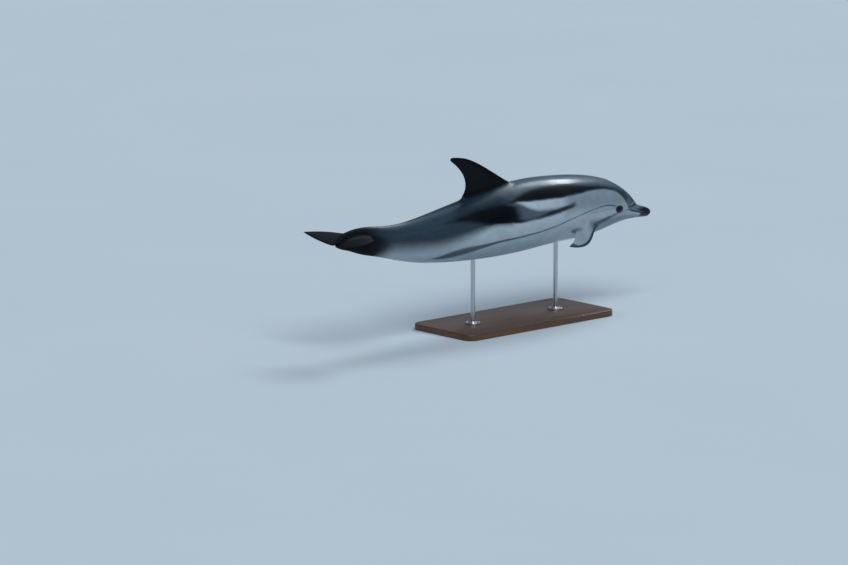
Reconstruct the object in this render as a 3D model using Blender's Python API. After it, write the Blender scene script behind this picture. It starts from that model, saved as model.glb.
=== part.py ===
"""A striped dolphin in mid leap, life size, on a plain display stand.

Metres, +Z up, the snout towards +X and the dolphin's left side towards +Y. The underside of the
base is at z = 0 and the middle of the whole model is at x = 0, y = 0.

The animal is first laid out straight: a point s metres behind the tip of the snout is at x = -s.
Lengths along the body and the sizes of its sections are in per cent of the body's length, as
dolphins are measured. The spine is then bent to the leap. Neighbouring solids keep a thin gap.
"""

import math

import bmesh
import bpy
import numpy as np

LENGTH = 2.05  # tip of the snout to the notch between the flukes
PERCENT = LENGTH / 100
GAP = 0.0003  # clear space between neighbouring solids
GROW = 0.0005  # how far the fins' cutter stands off the skin

# Body: station behind the snout, back, belly, half width, height of the widest line (all in per
# cent of the length), and how hard the sides are pinched to a keel above and below (1 is none).
SECTIONS = np.array([
    (4.0, 0.5, -2.0, 1.7, 0.0, 1.0),
    (6.0, 2.1, -1.75, 2.4, 0.2, 1.0),
    (8.0, 3.6, -2.05, 3.2, 0.5, 1.0),
    (11.0, 5.3, -2.8, 4.3, 0.8, 1.0),
    (15.0, 6.9, -4.0, 5.3, 0.9, 1.0),
    (22.0, 8.2, -5.9, 6.7, 0.9, 1.0),
    (32.0, 8.8, -6.9, 7.6, 0.8, 1.0),
    (44.0, 9.1, -7.4, 7.6, 0.7, 1.0),
    (56.0, 8.1, -6.9, 6.8, 0.7, 1.05),
    (66.0, 6.9, -6.0, 5.4, 0.5, 1.15),
    (76.0, 5.1, -5.0, 3.7, 0.3, 1.3),
    (86.0, 3.25, -3.9, 2.1, 0.0, 1.4),
    (93.0, 2.7, -3.2, 1.4, 0.0, 1.3),
    (98.0, 2.05, -1.5, 1.0, 0.0, 1.1),
    (101.5, 1.2, -0.6, 0.7, 0.0, 1.0),
])

# The leap: pitch of the spine in degrees, snout up, at stations along the body.
SPINE = np.array([
    (0, -11), (10, -8), (25, -4), (38, 1.5), (52, 4), (66, 1), (80, -7), (88, -10),
    (94, 0), (98, 7), (106, 3),
])

SNOUT_ROUND = 1.6  # length of the beak's rounded tip
MOUTH_DROP = 0.2  # the mouth's level below the beak's middle line
MOUTH_RISE = 0.65  # how far it rises again towards its corner
GAPE = 12.5  # corner of the mouth
CREASE = 5.4  # where the beak meets the forehead
CREASE_SWEEP = 4.6  # how far back the crease runs on its way down to the corner of the mouth
TAIL_END = 98.6  # the tail stock ends between the flukes
RING_POINTS = 28
RING_STEP = 1.8

# Solids of the whole rings, from the corner of the mouth to the flukes.
BODY_PIECES = [
    ("head", GAPE, 18.5),
    ("neck", 18.5, 23.0),
    ("chest", 23.0, 34.0),
    ("trunk_front", 34.0, 45.0),
    ("trunk_middle", 45.0, 56.0),
    ("trunk_rear", 56.0, 67.0),
    ("tail_stock_front", 67.0, 79.0),
    ("tail_stock_middle", 79.0, 89.0),
    ("tail_stock_rear", 89.0, TAIL_END),
]

EYE_STATION = 15.5
EYE_ANGLE = math.radians(91)  # round the body from the middle of the back
EYE_RADIUS = 0.012
EYE_PROUD = 0.0025  # how far the eyeball stands out of the skin

BLOWHOLE_STATION = 15.8
BLOWHOLE_RADIUS = 0.011
BLOWHOLE_TURN = math.radians(75)  # half the arc of the crescent
BLOWHOLE_SLOT = 0.0022

DORSAL_STATION = 45.0
DORSAL_BASE = 8.75  # height of the fin's base line, in per cent of the length
DORSAL_HEIGHT = 0.19

FLIPPER_STATION = 23.0
FLIPPER_ANGLE = math.radians(128.5)
FLIPPER_SPAN = 0.233
FLIPPER_SWEEP = math.radians(36.5)
FLIPPER_DROOP = math.radians(43)
FLIPPER_TWIST = math.radians(-3)

FLUKE_SPAN = 0.216  # notch line to one tip
FLUKE_NOTCH = 100.0
FLUKE_CHORD = 0.216
FLUKE_RISE = 0.037  # the tips curl up by this

BELLY_HEIGHT = 0.34  # lowest point of the animal above the floor
BASE_SIZE = (0.96, 0.42, 0.030)
BASE_ROUNDING = 0.05
BASE_BEVEL = 0.004
ROD_STATIONS = {"front": 31.0, "rear": 58.0}
ROD_RADIUS = 0.011
ROD_DEPTH_IN_BODY = 0.030
ROD_DEPTH_IN_BASE = 0.018
FLANGE_RADIUS = 0.038
FLANGE_HEIGHT = 0.012

SKIN_GREY = (0.13, 0.19, 0.25)
EYE_BLACK = (0.006, 0.008, 0.011)
WALNUT = (0.10, 0.048, 0.022)
STEEL = (0.55, 0.56, 0.57)


# ---------------------------------------------------------------- shape of the animal


def spline(table, column, x):
    """Natural cubic through one column of a table, whose first column is the station."""
    xs, ys = table[:, 0], table[:, column]
    step = np.diff(xs)
    slope = np.diff(ys) / step
    system = np.eye(len(xs))
    right = np.zeros(len(xs))
    for i in range(1, len(xs) - 1):
        system[i, i - 1:i + 2] = step[i - 1], 2 * (step[i - 1] + step[i]), step[i]
        right[i] = 6 * (slope[i] - slope[i - 1])
    bend = np.linalg.solve(system, right)
    k = np.clip(np.searchsorted(xs, x) - 1, 0, len(xs) - 2)
    after, before = x - xs[k], xs[k + 1] - x
    curved = (bend[k] * before**3 + bend[k + 1] * after**3) / (6 * step[k])
    left = (ys[k] / step[k] - bend[k] * step[k] / 6) * before
    return curved + left + (ys[k + 1] / step[k] - bend[k + 1] * step[k] / 6) * after


def ease(low, high, x):
    """0 below low, 1 above high, smooth between them."""
    u = np.clip((x - low) / (high - low), 0, 1)
    return u * u * (3 - 2 * u)


def soft_max(a, b, width):
    return 0.5 * (a + b + np.sqrt((a - b) ** 2 + width * width))


def snout_rounding(t):
    """How full the beak is near its tip: 0 at the tip, 1 behind the rounded part."""
    return np.sqrt(np.clip(1 - (1 - np.minimum(t, SNOUT_ROUND) / SNOUT_ROUND) ** 2, 0, 1))


def section(t, theta):
    """Back, belly, half width, widest line and pinch at station t, as seen at angle theta.

    The beak is a slim rounded bar. The forehead rises out of it at a crease, which sweeps back
    towards the corner of the mouth, so the section also depends on the angle.
    """
    full = snout_rounding(t)
    beak_top = full * (0.75 + 0.14 * t)
    beak_belly = -full * (1.1 + 0.12 * t)
    beak_half = full * (0.95 + 0.20 * t)
    swept = t - CREASE_SWEEP * np.sin(theta) ** 4 * ease(14.5, 7, t)
    inside = np.clip(swept, 3.9, SECTIONS[-1, 0])
    back, belly, half, middle, pinch = (spline(SECTIONS, i, inside) for i in range(1, 6))
    reach = ease(3.9, 6.0, swept)
    behind = t > 12
    on_beak = t < 4
    top = np.where(behind, back, soft_max(beak_top, np.where(reach > 0, back, -1), 0.25))
    bottom = np.where(behind, belly, -soft_max(-beak_belly, -belly * reach, 0.2))
    wide = np.where(behind, half, soft_max(beak_half, half * reach, 0.25))
    top = np.where(on_beak, beak_top, top)
    bottom = np.where(on_beak, beak_belly, bottom)
    wide = np.where(on_beak, beak_half, wide)
    return top, bottom, wide, middle * ease(5, 12, t), pinch


def skin(t, theta, grow=0.0):
    """Points of the straight body at stations t and angles theta from the back towards the left."""
    top, bottom, wide, middle, pinch = section(t, theta)
    extra = grow / PERCENT
    across = (wide + extra) * np.sign(np.sin(theta)) * np.abs(np.sin(theta)) ** pinch
    up = np.where(np.cos(theta) > 0, top + extra - middle, middle - bottom + extra)
    height = middle + up * np.cos(theta)
    return np.stack([-t + 0 * across, across, height], -1) * PERCENT


def skin_frame(t, theta):
    """One point of the straight skin, and the direction out of it."""
    step = 0.01
    here = skin(np.array(t), np.array(theta))
    back = skin(np.array(t + step), np.array(theta)) - here
    around = skin(np.array(t), np.array(theta + step)) - here
    out = np.cross(around, back)
    return here, out / np.linalg.norm(out)


def spine_table():
    """Distance along the spine, its pitch, and its x and z, with the snout tip at the origin."""
    step = 0.001
    along = np.arange(-0.2, 1.15 * LENGTH, step)
    ends = SPINE[0, 0], SPINE[-1, 0]
    pitch = np.radians(spline(SPINE, 1, np.clip(along / PERCENT, *ends)))
    x = -np.cumsum(np.cos(pitch)) * step
    z = -np.cumsum(np.sin(pitch)) * step
    start = np.argmin(np.abs(along))
    return along, pitch, x - x[start], z - z[start]


def leap(points):
    """Straight points carried to the bent spine."""
    along, pitch, x, z = spine_table()
    s = -points[..., 0]
    angle = np.interp(s, along, pitch)
    return np.stack([
        np.interp(s, along, x) - np.sin(angle) * points[..., 2],
        points[..., 1],
        np.interp(s, along, z) + np.cos(angle) * points[..., 2],
    ], -1)


# ---------------------------------------------------------------- fins


def fin_rings(lead, trail, thickness, place, low=0.0, rings=13, points=18):
    """Aerofoil rings from the root of a fin to its tip.

    lead, trail and thickness are functions of the span from 0 at the root to 1 at the tip, and
    place puts (chord, span, lift) in the straight body. low is negative where the root is buried.
    """
    span = low + (1 - low) * np.linspace(0, 1, rings)[:, None] ** 0.85
    turn = np.linspace(0, 2 * np.pi, points, endpoint=False)[None, :]
    along = (1 - np.cos(turn)) / 2
    front, rear = lead(span), trail(span)
    shut = np.sqrt(1 - np.clip((span - 0.90) / 0.104, 0, 1) ** 2)
    centre, chord = (front + rear) / 2, (rear - front) * shut
    lift = np.sign(np.sin(turn)) * np.abs(np.sin(turn)) ** 0.9 * (1 - 0.45 * along)
    return place(centre + chord * (along - 0.5), span + 0 * along, lift * thickness(span) / 2)


def root_flare(span, reach=0.14):
    """1 at the root of a fin, falling to 0: what fairs the fin into the body."""
    return np.clip(1 - span / reach, 0, 1.3) ** 2


def dorsal_rings():
    base = DORSAL_STATION * PERCENT

    def lead(v):
        return 0.278 * v + 0.063 * np.clip(v, 0, 1) ** 7 - 0.012 * root_flare(v)

    def trail(v):
        return 0.296 + 0.221 * (v - 0.263) ** 2 + 0.014 * root_flare(v)

    def thickness(v):
        return 0.032 * np.clip(1 - v, 0, 1) ** 0.8 + 0.006 + 0.014 * root_flare(v)

    def place(chord, span, lift):
        height = DORSAL_BASE * PERCENT + span * DORSAL_HEIGHT
        return np.stack([-base - chord, lift, height], -1)

    return fin_rings(lead, trail, thickness, place, low=-0.14)


def flipper_rings(side):
    """side is 1 for the left flipper and -1 for the right one."""
    root, _ = skin_frame(FLIPPER_STATION, FLIPPER_ANGLE)
    out = np.array([0, math.cos(FLIPPER_DROOP), -math.sin(FLIPPER_DROOP)])
    aft = np.array([-1.0, 0, 0])
    span_way = math.cos(FLIPPER_SWEEP) * out + math.sin(FLIPPER_SWEEP) * aft
    chord_way = math.cos(FLIPPER_SWEEP) * aft - math.sin(FLIPPER_SWEEP) * out
    lift_way = np.cross(span_way, chord_way)
    chord_way = math.cos(FLIPPER_TWIST) * chord_way - math.sin(FLIPPER_TWIST) * lift_way
    lift_way = np.cross(span_way, chord_way)

    def lead(v):
        return 0.040 * v + 0.101 * np.clip(v, 0, 1) ** 4.7 - 0.010 * root_flare(v)

    def trail(v):
        tip = 0.038 * np.clip(v, 0, 1) ** 5.1
        return 0.115 + tip - 0.004 * np.sin(np.pi * v) + 0.012 * root_flare(v)

    def thickness(v):
        return 0.024 * np.clip(1 - v, 0, 1) ** 0.8 + 0.006 + 0.010 * root_flare(v)

    def place(chord, span, lift):
        point = root + chord[..., None] * chord_way + lift[..., None] * lift_way
        return (point + (span * FLIPPER_SPAN)[..., None] * span_way) * (1, side, 1)

    return fin_rings(lead, trail, thickness, place, low=-0.12)


def fluke_rings(side):
    """side is 1 for the left fluke and -1 for the right one."""
    notch = FLUKE_NOTCH * PERCENT

    def lead(v):
        return notch - FLUKE_CHORD * (1 - 0.55 * v - 0.45 * v**3)

    def trail(v):
        return notch + 0.004 - 0.014 * np.exp(-(v / 0.06) ** 2)

    def thickness(v):
        return 0.034 * np.clip(1 - v, 0, 1) ** 0.9 + 0.005

    def place(chord, span, lift):
        across = side * (GAP / 2 + span * FLUKE_SPAN)
        return np.stack([-chord, across, lift + FLUKE_RISE * span**1.7], -1)

    return fin_rings(lead, trail, thickness, place, rings=15)


# ---------------------------------------------------------------- places in the whole model


def model_shift():
    """What moves the leaping animal to its height above the base, with the model centred."""
    flukes = leap(fluke_rings(1))
    stations = np.arange(20, 95, 0.5)[:, None]
    bottom = leap(skin(stations, np.array([[np.pi]])))
    return np.array([-flukes[..., 0].min() / 2, 0, BELLY_HEIGHT - bottom[..., 2].min()])


SHIFT = model_shift()


def placed(straight):
    return leap(straight) + SHIFT


def rod_place(station):
    """The point of the belly over a rod."""
    return placed(skin(np.array(station), np.array(np.pi)))


# ---------------------------------------------------------------- making objects


def clear_scene():
    for item in list(bpy.data.objects):
        bpy.data.objects.remove(item, do_unlink=True)


def make_material(name, colour, roughness, metallic=0.0):
    material = bpy.data.materials.new(name)
    material.use_nodes = True
    shader = material.node_tree.nodes["Principled BSDF"]
    shader.inputs["Base Color"].default_value = (*colour, 1)
    shader.inputs["Roughness"].default_value = roughness
    shader.inputs["Metallic"].default_value = metallic
    material.diffuse_color = (*colour, 1)
    return material


def add_object(name, mesh_maker, material, smooth_angle=40):
    """A closed object in the scene, facing outwards, shaded smooth but for its sharp edges."""
    shape = bmesh.new()
    mesh_maker(shape)
    bmesh.ops.recalc_face_normals(shape, faces=shape.faces)
    mesh = bpy.data.meshes.new(name)
    shape.to_mesh(mesh)
    shape.free()
    mesh.materials.append(material)
    mesh.shade_smooth()
    mesh.set_sharp_from_angle(angle=math.radians(smooth_angle))
    item = bpy.data.objects.new(name, mesh)
    bpy.context.scene.collection.objects.link(item)
    return item


def lofted(rings):
    """A mesh maker: skins over the rings in order, with a flat cap on the first and the last."""

    def make(shape):
        loops = [[shape.verts.new(point) for point in ring] for ring in rings]
        count = len(loops[0])
        for one, other in zip(loops, loops[1:]):
            for j in range(count):
                k = (j + 1) % count
                shape.faces.new((one[j], one[k], other[k], other[j]))
        for loop in (loops[0], loops[-1]):
            bmesh.ops.triangulate(shape, faces=[shape.faces.new(loop)])

    return make


def cylinder(radius, low, high, place, segments=24):
    """A mesh maker: an upright cylinder over place, from height low to height high."""
    turn = np.linspace(0, 2 * np.pi, segments, endpoint=False)
    circle = np.stack([radius * np.cos(turn), radius * np.sin(turn), 0 * turn], -1)
    centre = np.array([place[0], place[1], 0])
    return lofted([circle + centre + (0, 0, z) for z in (low, high)])


def ball(centre, radius, rings=7, segments=14):
    """A mesh maker: a sphere."""

    def make(shape):
        bmesh.ops.create_uvsphere(shape, u_segments=segments, v_segments=rings, radius=radius)
        bmesh.ops.translate(shape, verts=shape.verts, vec=centre)

    return make


def hide_cutter(item):
    item.hide_render = True
    item.display_type = "WIRE"
    return item


def cut(item, cutter):
    step = item.modifiers.new("cut by " + cutter.name, "BOOLEAN")
    step.operation = "DIFFERENCE"
    step.solver = "EXACT"
    step.object = cutter


# ---------------------------------------------------------------- the animal


def stations_between(start, end):
    steps = max(2, math.ceil((end - start) / RING_STEP))
    return np.linspace(start, end, steps + 1)


def body_rings(stations, grow=0.0):
    theta = np.linspace(0, 2 * np.pi, RING_POINTS, endpoint=False)[None, :]
    return placed(skin(np.asarray(stations)[:, None], theta, grow))


def piece_stations(start, end):
    half = GAP / 2 / PERCENT
    return stations_between(start + half, end - half)


def mouth_angle(t, gap):
    """The angle round the section at which the skin meets the mouth."""
    level = MOUTH_RISE * ease(5, 12, t) - MOUTH_DROP * snout_rounding(t) + gap / PERCENT
    theta = np.full_like(t, np.pi / 2)
    for _ in range(12):
        _, bottom, _, middle, _ = section(t, theta)
        theta = np.arccos(np.clip((level - middle) / (middle - bottom), -0.95, 0.95))
    return theta


def jaw_rings(stations, upper):
    """Half rings above or below the mouth, each closed straight across it."""
    t = np.asarray(stations)[:, None]
    gap = GAP / 2 if upper else -GAP / 2
    corner = mouth_angle(t, gap)
    share = np.linspace(0, 1, RING_POINTS // 2 + 3)[None, :]
    if upper:
        theta = corner * (2 * share - 1)
    else:
        theta = corner + (2 * np.pi - 2 * corner) * share
    return placed(skin(t, theta))


def beak_stations(end):
    """Stations crowd towards the rounded tip of the snout."""
    tip = SNOUT_ROUND * np.linspace(0.12, 1, 6) ** 2
    rest = stations_between(SNOUT_ROUND, end)[1:]
    return np.concatenate([tip, rest])


def make_jaws(material):
    half = GAP / 2 / PERCENT
    beak = beak_stations(CREASE - half)
    forehead = np.linspace(CREASE + half, GAPE - half, 8)
    add_object("beak_upper", lofted(jaw_rings(beak, True)), material)
    add_object("melon", lofted(jaw_rings(forehead, True)), material)
    whole_jaw = np.concatenate([beak, forehead])
    add_object("jaw_lower", lofted(jaw_rings(whole_jaw, False)), material)


def make_body(material):
    pieces = {}
    for name, start, end in BODY_PIECES:
        rings = body_rings(piece_stations(start, end))
        pieces[name] = add_object(name, lofted(rings), material)
    return pieces


def make_eyes(head, material):
    for name, side in (("eye_left", 1), ("eye_right", -1)):
        surface, out = skin_frame(EYE_STATION, side * EYE_ANGLE)
        centre = placed(surface - out * (EYE_RADIUS - EYE_PROUD))
        add_object(name, ball(centre, EYE_RADIUS), material)
        socket = add_object(name + "_socket", ball(centre, EYE_RADIUS + GAP), material)
        cut(head, hide_cutter(socket))


def make_blowhole(head, material):
    """A crescent slot across the top of the head, its horns towards the snout."""
    rings = []
    for turn in np.linspace(-BLOWHOLE_TURN, BLOWHOLE_TURN, 9):
        ahead = -BLOWHOLE_RADIUS * math.cos(turn)
        across = BLOWHOLE_RADIUS * math.sin(turn)
        station = BLOWHOLE_STATION - ahead / PERCENT
        centre, _ = skin_frame(station, 0.0)
        tangent = np.array([math.sin(turn), math.cos(turn), 0])
        side_way = np.cross(tangent, (0, 0, 1))
        corners = [(-1, -1), (1, -1), (1, 1.6), (-1, 1.6)]
        rings.append([
            centre + (0, across, 0) + BLOWHOLE_SLOT * (a / 2 * side_way + (0, 0, b))
            for a, b in corners
        ])
    slot = add_object("blowhole_slot", lofted(placed(np.array(rings))), material)
    cut(head, hide_cutter(slot))


def make_fins(material):
    stations = np.concatenate([piece_stations(start, end) for _, start, end in BODY_PIECES])
    stand_off = add_object("skin_cutter", lofted(body_rings(stations, GROW)), material)
    hide_cutter(stand_off)
    fins = {
        "dorsal_fin": dorsal_rings(),
        "flipper_left": flipper_rings(1),
        "flipper_right": flipper_rings(-1),
        "fluke_left": fluke_rings(1),
        "fluke_right": fluke_rings(-1),
    }
    for name, rings in fins.items():
        cut(add_object(name, lofted(placed(rings)), material), stand_off)


# ---------------------------------------------------------------- the stand


def base_outline(length, width, radius, corner_steps=6):
    """A rectangle with rounded corners, counter-clockwise from its +X side."""
    points = []
    for quarter in range(4):
        sx, sy = ((1, 1), (-1, 1), (-1, -1), (1, -1))[quarter]
        centre = (sx * (length / 2 - radius), sy * (width / 2 - radius))
        for turn in np.linspace(0, np.pi / 2, corner_steps) + quarter * np.pi / 2:
            points.append((centre[0] + radius * math.cos(turn), centre[1] + radius * math.sin(turn)))
    return points


def make_stand(pieces, wood, steel):
    places = {name: rod_place(station) for name, station in ROD_STATIONS.items()}
    middle = (places["front"][0] + places["rear"][0]) / 2
    length, width, height = BASE_SIZE
    outline = base_outline(length, width, BASE_ROUNDING)
    rings = [[(middle + x, y, z) for x, y in outline] for z in (0, height)]
    base = add_object("stand_base", lofted(rings), wood)
    edge = base.modifiers.new("eased edges", "BEVEL")
    edge.width = BASE_BEVEL
    edge.segments = 2
    edge.limit_method = "ANGLE"
    holders = {"front": pieces["chest"], "rear": pieces["trunk_rear"]}
    for name, place in places.items():
        low = height - ROD_DEPTH_IN_BASE
        high = place[2] + ROD_DEPTH_IN_BODY
        add_object("stand_rod_" + name, cylinder(ROD_RADIUS, low, high, place), steel)
        for holder, bottom, top in ((base, low, 2 * height), (holders[name], low, high)):
            hole = cylinder(ROD_RADIUS + GAP, bottom - GAP, top + GAP, place)
            cut(holder, hide_cutter(add_object(f"{holder.name}_hole_{name}", hole, steel)))
        collar = add_object(
            "stand_flange_" + name,
            cylinder(FLANGE_RADIUS, height + GAP, height + GAP + FLANGE_HEIGHT, place, 28),
            steel,
        )
        ease_edge = collar.modifiers.new("eased rim", "BEVEL")
        ease_edge.width = 0.003
        ease_edge.segments = 2
        ease_edge.limit_method = "ANGLE"
        through = cylinder(ROD_RADIUS + GAP, 0, high, place)
        cut(collar, hide_cutter(add_object("flange_hole_" + name, through, steel)))


def main():
    clear_scene()
    skin_material = make_material("dolphin skin", SKIN_GREY, 0.30)
    eye_material = make_material("eye", EYE_BLACK, 0.08)
    wood = make_material("walnut", WALNUT, 0.45)
    steel = make_material("satin steel", STEEL, 0.32, 1.0)
    pieces = make_body(skin_material)
    make_jaws(skin_material)
    make_eyes(pieces["head"], eye_material)
    make_blowhole(pieces["head"], skin_material)
    make_fins(skin_material)
    make_stand(pieces, wood, steel)


main()
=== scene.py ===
# %% [markdown]
# # A striped dolphin in mid leap
# This file dresses a life-size museum model of a striped dolphin. The frame holds the plain solids:
# body pieces, fins, eyes, and a stand of wood and steel. Here the animal gets one continuous skin
# with its folds, lids and markings, and the stand gets its finish.
# Lengths are in metres and the snout points along +X. The body is measured as dolphins are, in per
# cent of its length from the tip of the snout.

# %% Load the frame
import math

import bmesh
import bpy
import numpy as np
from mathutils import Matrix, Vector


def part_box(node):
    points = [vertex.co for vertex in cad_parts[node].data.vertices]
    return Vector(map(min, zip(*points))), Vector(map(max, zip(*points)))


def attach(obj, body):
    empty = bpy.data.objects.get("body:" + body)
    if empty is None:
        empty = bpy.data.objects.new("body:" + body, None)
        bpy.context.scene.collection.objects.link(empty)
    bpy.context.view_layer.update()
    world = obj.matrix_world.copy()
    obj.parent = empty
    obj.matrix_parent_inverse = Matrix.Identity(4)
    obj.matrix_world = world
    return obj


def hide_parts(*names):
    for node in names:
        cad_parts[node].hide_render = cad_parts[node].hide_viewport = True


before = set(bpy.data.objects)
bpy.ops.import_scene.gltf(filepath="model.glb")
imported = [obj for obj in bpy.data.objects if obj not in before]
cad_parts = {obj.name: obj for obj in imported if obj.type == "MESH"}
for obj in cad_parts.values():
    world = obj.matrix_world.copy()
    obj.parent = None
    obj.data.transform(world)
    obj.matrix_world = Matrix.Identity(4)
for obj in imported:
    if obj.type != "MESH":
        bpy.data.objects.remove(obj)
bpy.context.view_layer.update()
print("frame:", len(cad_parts), "nodes")

# %% [markdown]
# ## Small helpers
# Four things are needed again and again: a colour given as the hex value a painter would pick, a
# mesh made from whole arrays of points, a number kept at each of its points, and a shader node with
# its settings and links.

# %% Colours, meshes and nodes


def colour(hex_value):
    """sRGB hex to the linear values that shaders work in, with alpha 1."""
    srgb = np.array([int(hex_value[i:i + 2], 16) for i in (1, 3, 5)]) / 255
    linear = np.where(srgb <= 0.04045, srgb / 12.92, ((srgb + 0.055) / 1.055) ** 2.4)
    return (*linear.tolist(), 1.0)


def new_object(name, points, faces):
    """An object at the origin whose mesh holds the given points and faces, shaded smooth."""
    mesh = bpy.data.meshes.new(name)
    mesh.from_pydata(points.reshape(-1, 3).tolist(), [], [tuple(face) for face in faces])
    mesh.shade_smooth()
    item = bpy.data.objects.new(name, mesh)
    bpy.context.scene.collection.objects.link(item)
    return item


def full_turn(count):
    """Even steps round a circle, without the last one, which would be the first again."""
    return np.linspace(0, 2 * np.pi, count, endpoint=False)


def quarter_turn(count):
    """Even steps from 0 to a right angle, for rounded edges."""
    return np.linspace(0, np.pi / 2, count)


def tube_faces(rings, count, caps=True):
    """Faces over a grid of rings, each closed on itself, with a flat cap at both ends."""
    i, j = np.meshgrid(np.arange(rings - 1), np.arange(count), indexing="ij")
    k = (j + 1) % count
    quads = np.stack([i * count + j, i * count + k, (i + 1) * count + k, (i + 1) * count + j], -1)
    faces = quads.reshape(-1, 4).tolist()
    if caps:
        faces += [list(range(count))[::-1], [(rings - 1) * count + n for n in range(count)]]
    return faces


def keep_values(item, name, values):
    """Stores one number for every point of an object's mesh, for a shader to read by name."""
    layer = item.data.attributes.new(name, "FLOAT", "POINT")
    layer.data.foreach_set("value", values.astype(np.float32).ravel())


def add(tree, kind, inputs=None, **settings):
    """Adds a shader node: settings are its properties, inputs its sockets, each a value or a link."""
    node = tree.nodes.new(kind)
    for key, value in settings.items():
        setattr(node, key, value)
    for key, value in (inputs or {}).items():
        if isinstance(value, bpy.types.NodeSocket):
            tree.links.new(value, node.inputs[key])
        else:
            node.inputs[key].default_value = value
    return node


def new_material(name):
    """An empty node material and its tree."""
    material = bpy.data.materials.new(name)
    material.use_nodes = True
    material.node_tree.nodes.clear()
    return material, material.node_tree


# %% [markdown]
# ## The body laid out straight
# A dolphin's body is a spindle: every cross-section is a simple closed curve, and only its size and
# squareness change from snout to tail. So the body is a table of sections with a smooth curve through
# each column. It is laid out straight, where features are easy to place, and bent to the leap at the
# end. The numbers are those of the solids, so the skin lies exactly on them.

# %% Sections and spine
LENGTH = 2.05  # tip of the snout to the notch between the flukes
PERCENT = LENGTH / 100
MM = 0.001

# station, back, belly, half width, height of the widest line (per cent of length), pinch to a keel
SECTIONS = np.array([
    (4.0, 0.5, -2.0, 1.7, 0.0, 1.0),
    (6.0, 2.1, -1.75, 2.4, 0.2, 1.0),
    (8.0, 3.6, -2.05, 3.2, 0.5, 1.0),
    (11.0, 5.3, -2.8, 4.3, 0.8, 1.0),
    (15.0, 6.9, -4.0, 5.3, 0.9, 1.0),
    (22.0, 8.2, -5.9, 6.7, 0.9, 1.0),
    (32.0, 8.8, -6.9, 7.6, 0.8, 1.0),
    (44.0, 9.1, -7.4, 7.6, 0.7, 1.0),
    (56.0, 8.1, -6.9, 6.8, 0.7, 1.05),
    (66.0, 6.9, -6.0, 5.4, 0.5, 1.15),
    (76.0, 5.1, -5.0, 3.7, 0.3, 1.3),
    (86.0, 3.25, -3.9, 2.1, 0.0, 1.4),
    (93.0, 2.7, -3.2, 1.4, 0.0, 1.3),
    (98.0, 2.05, -1.5, 1.0, 0.0, 1.1),
    (101.5, 1.2, -0.6, 0.7, 0.0, 1.0),
])

# pitch of the spine in degrees, snout up, at stations along the body
SPINE = np.array([
    (0, -11), (10, -8), (25, -4), (38, 1.5), (52, 4), (66, 1), (80, -7), (88, -10),
    (94, 0), (98, 7), (106, 3),
])

SNOUT_ROUND = 1.6  # length of the beak's rounded tip
MOUTH_DROP = 0.2  # the mouth's level below the beak's middle line
MOUTH_RISE = 0.65  # how far it rises again towards its corner
GAPE = 12.5  # corner of the mouth
CREASE = 5.4  # where the beak meets the forehead, on top
CREASE_BACK = 5.8  # how much further back the crease lies at the side
CREASE_SWEEP = 4.6  # how far back the head's own sections are carried there
EYE_STATION = 15.5
EYE_ANGLE = math.radians(91)  # down from the middle of the back
BLOWHOLE_STATION = 15.8
BEAK_ALONE = 4.0  # in front of this station there is nothing but beak
BEAK_GONE = 12.0  # behind this one nothing of it is left
HEAD_START = 3.9  # first of the head's own sections
HEAD_FULL = 6.0  # from here they count in full


def spline(table, x, column=1):
    """Natural cubic through a column of a table whose first column is the station."""
    xs, ys = table[:, 0], table[:, column]
    step = np.diff(xs)
    slope = np.diff(ys) / step
    system = np.eye(len(xs))
    right = np.zeros(len(xs))
    for i in range(1, len(xs) - 1):
        system[i, i - 1:i + 2] = step[i - 1], 2 * (step[i - 1] + step[i]), step[i]
        right[i] = 6 * (slope[i] - slope[i - 1])
    bend = np.linalg.solve(system, right)
    k = np.clip(np.searchsorted(xs, x) - 1, 0, len(xs) - 2)
    after, before = x - xs[k], xs[k + 1] - x
    curved = (bend[k] * before**3 + bend[k + 1] * after**3) / (6 * step[k])
    left = (ys[k] / step[k] - bend[k] * step[k] / 6) * before
    return curved + left + (ys[k + 1] / step[k] - bend[k + 1] * step[k] / 6) * after


def ease(low, high, x):
    """0 at low, 1 at high, smooth between; low may be the larger."""
    u = np.clip((x - low) / (high - low), 0, 1)
    return u * u * (3 - 2 * u)


def soft_max(a, b, width):
    """The larger of two values, with the corner where they cross rounded over about the width."""
    return 0.5 * (a + b + np.sqrt((a - b) ** 2 + width * width))


def snout_rounding(t):
    """How full the beak is: a quarter ellipse over the rounded tip, 1 behind it."""
    return np.sqrt(np.clip(1 - (1 - np.minimum(t, SNOUT_ROUND) / SNOUT_ROUND) ** 2, 0, 1))


def section(t, theta):
    """Back, belly, half width, widest line and pinch at station t, as seen at angle theta.

    Formula: the larger of a tapering beak and the table's head, softly joined. The head's station
    is swept back by sin^4 of the angle, so the crease runs down and back to the mouth's corner.
    """
    full = snout_rounding(t)
    # the beak's height and width at its tip, and what each station adds
    beak_top = full * (0.75 + 0.14 * t)
    beak_belly = -full * (1.1 + 0.12 * t)
    beak_half = full * (0.95 + 0.20 * t)
    swept = t - CREASE_SWEEP * np.sin(theta) ** 4 * ease(14.5, 7, t)
    inside = np.clip(swept, HEAD_START, SECTIONS[-1, 0])
    back, belly, half, middle, pinch = (spline(SECTIONS, inside, i) for i in range(1, 6))
    reach = ease(HEAD_START, HEAD_FULL, swept)
    behind = t > BEAK_GONE
    on_beak = t < BEAK_ALONE
    top = np.where(behind, back, soft_max(beak_top, np.where(reach > 0, back, -1), 0.25))
    bottom = np.where(behind, belly, -soft_max(-beak_belly, -belly * reach, 0.2))
    wide = np.where(behind, half, soft_max(beak_half, half * reach, 0.25))
    top = np.where(on_beak, beak_top, top)
    bottom = np.where(on_beak, beak_belly, bottom)
    wide = np.where(on_beak, beak_half, wide)
    return top, bottom, wide, middle * ease(5, 12, t), pinch


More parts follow.
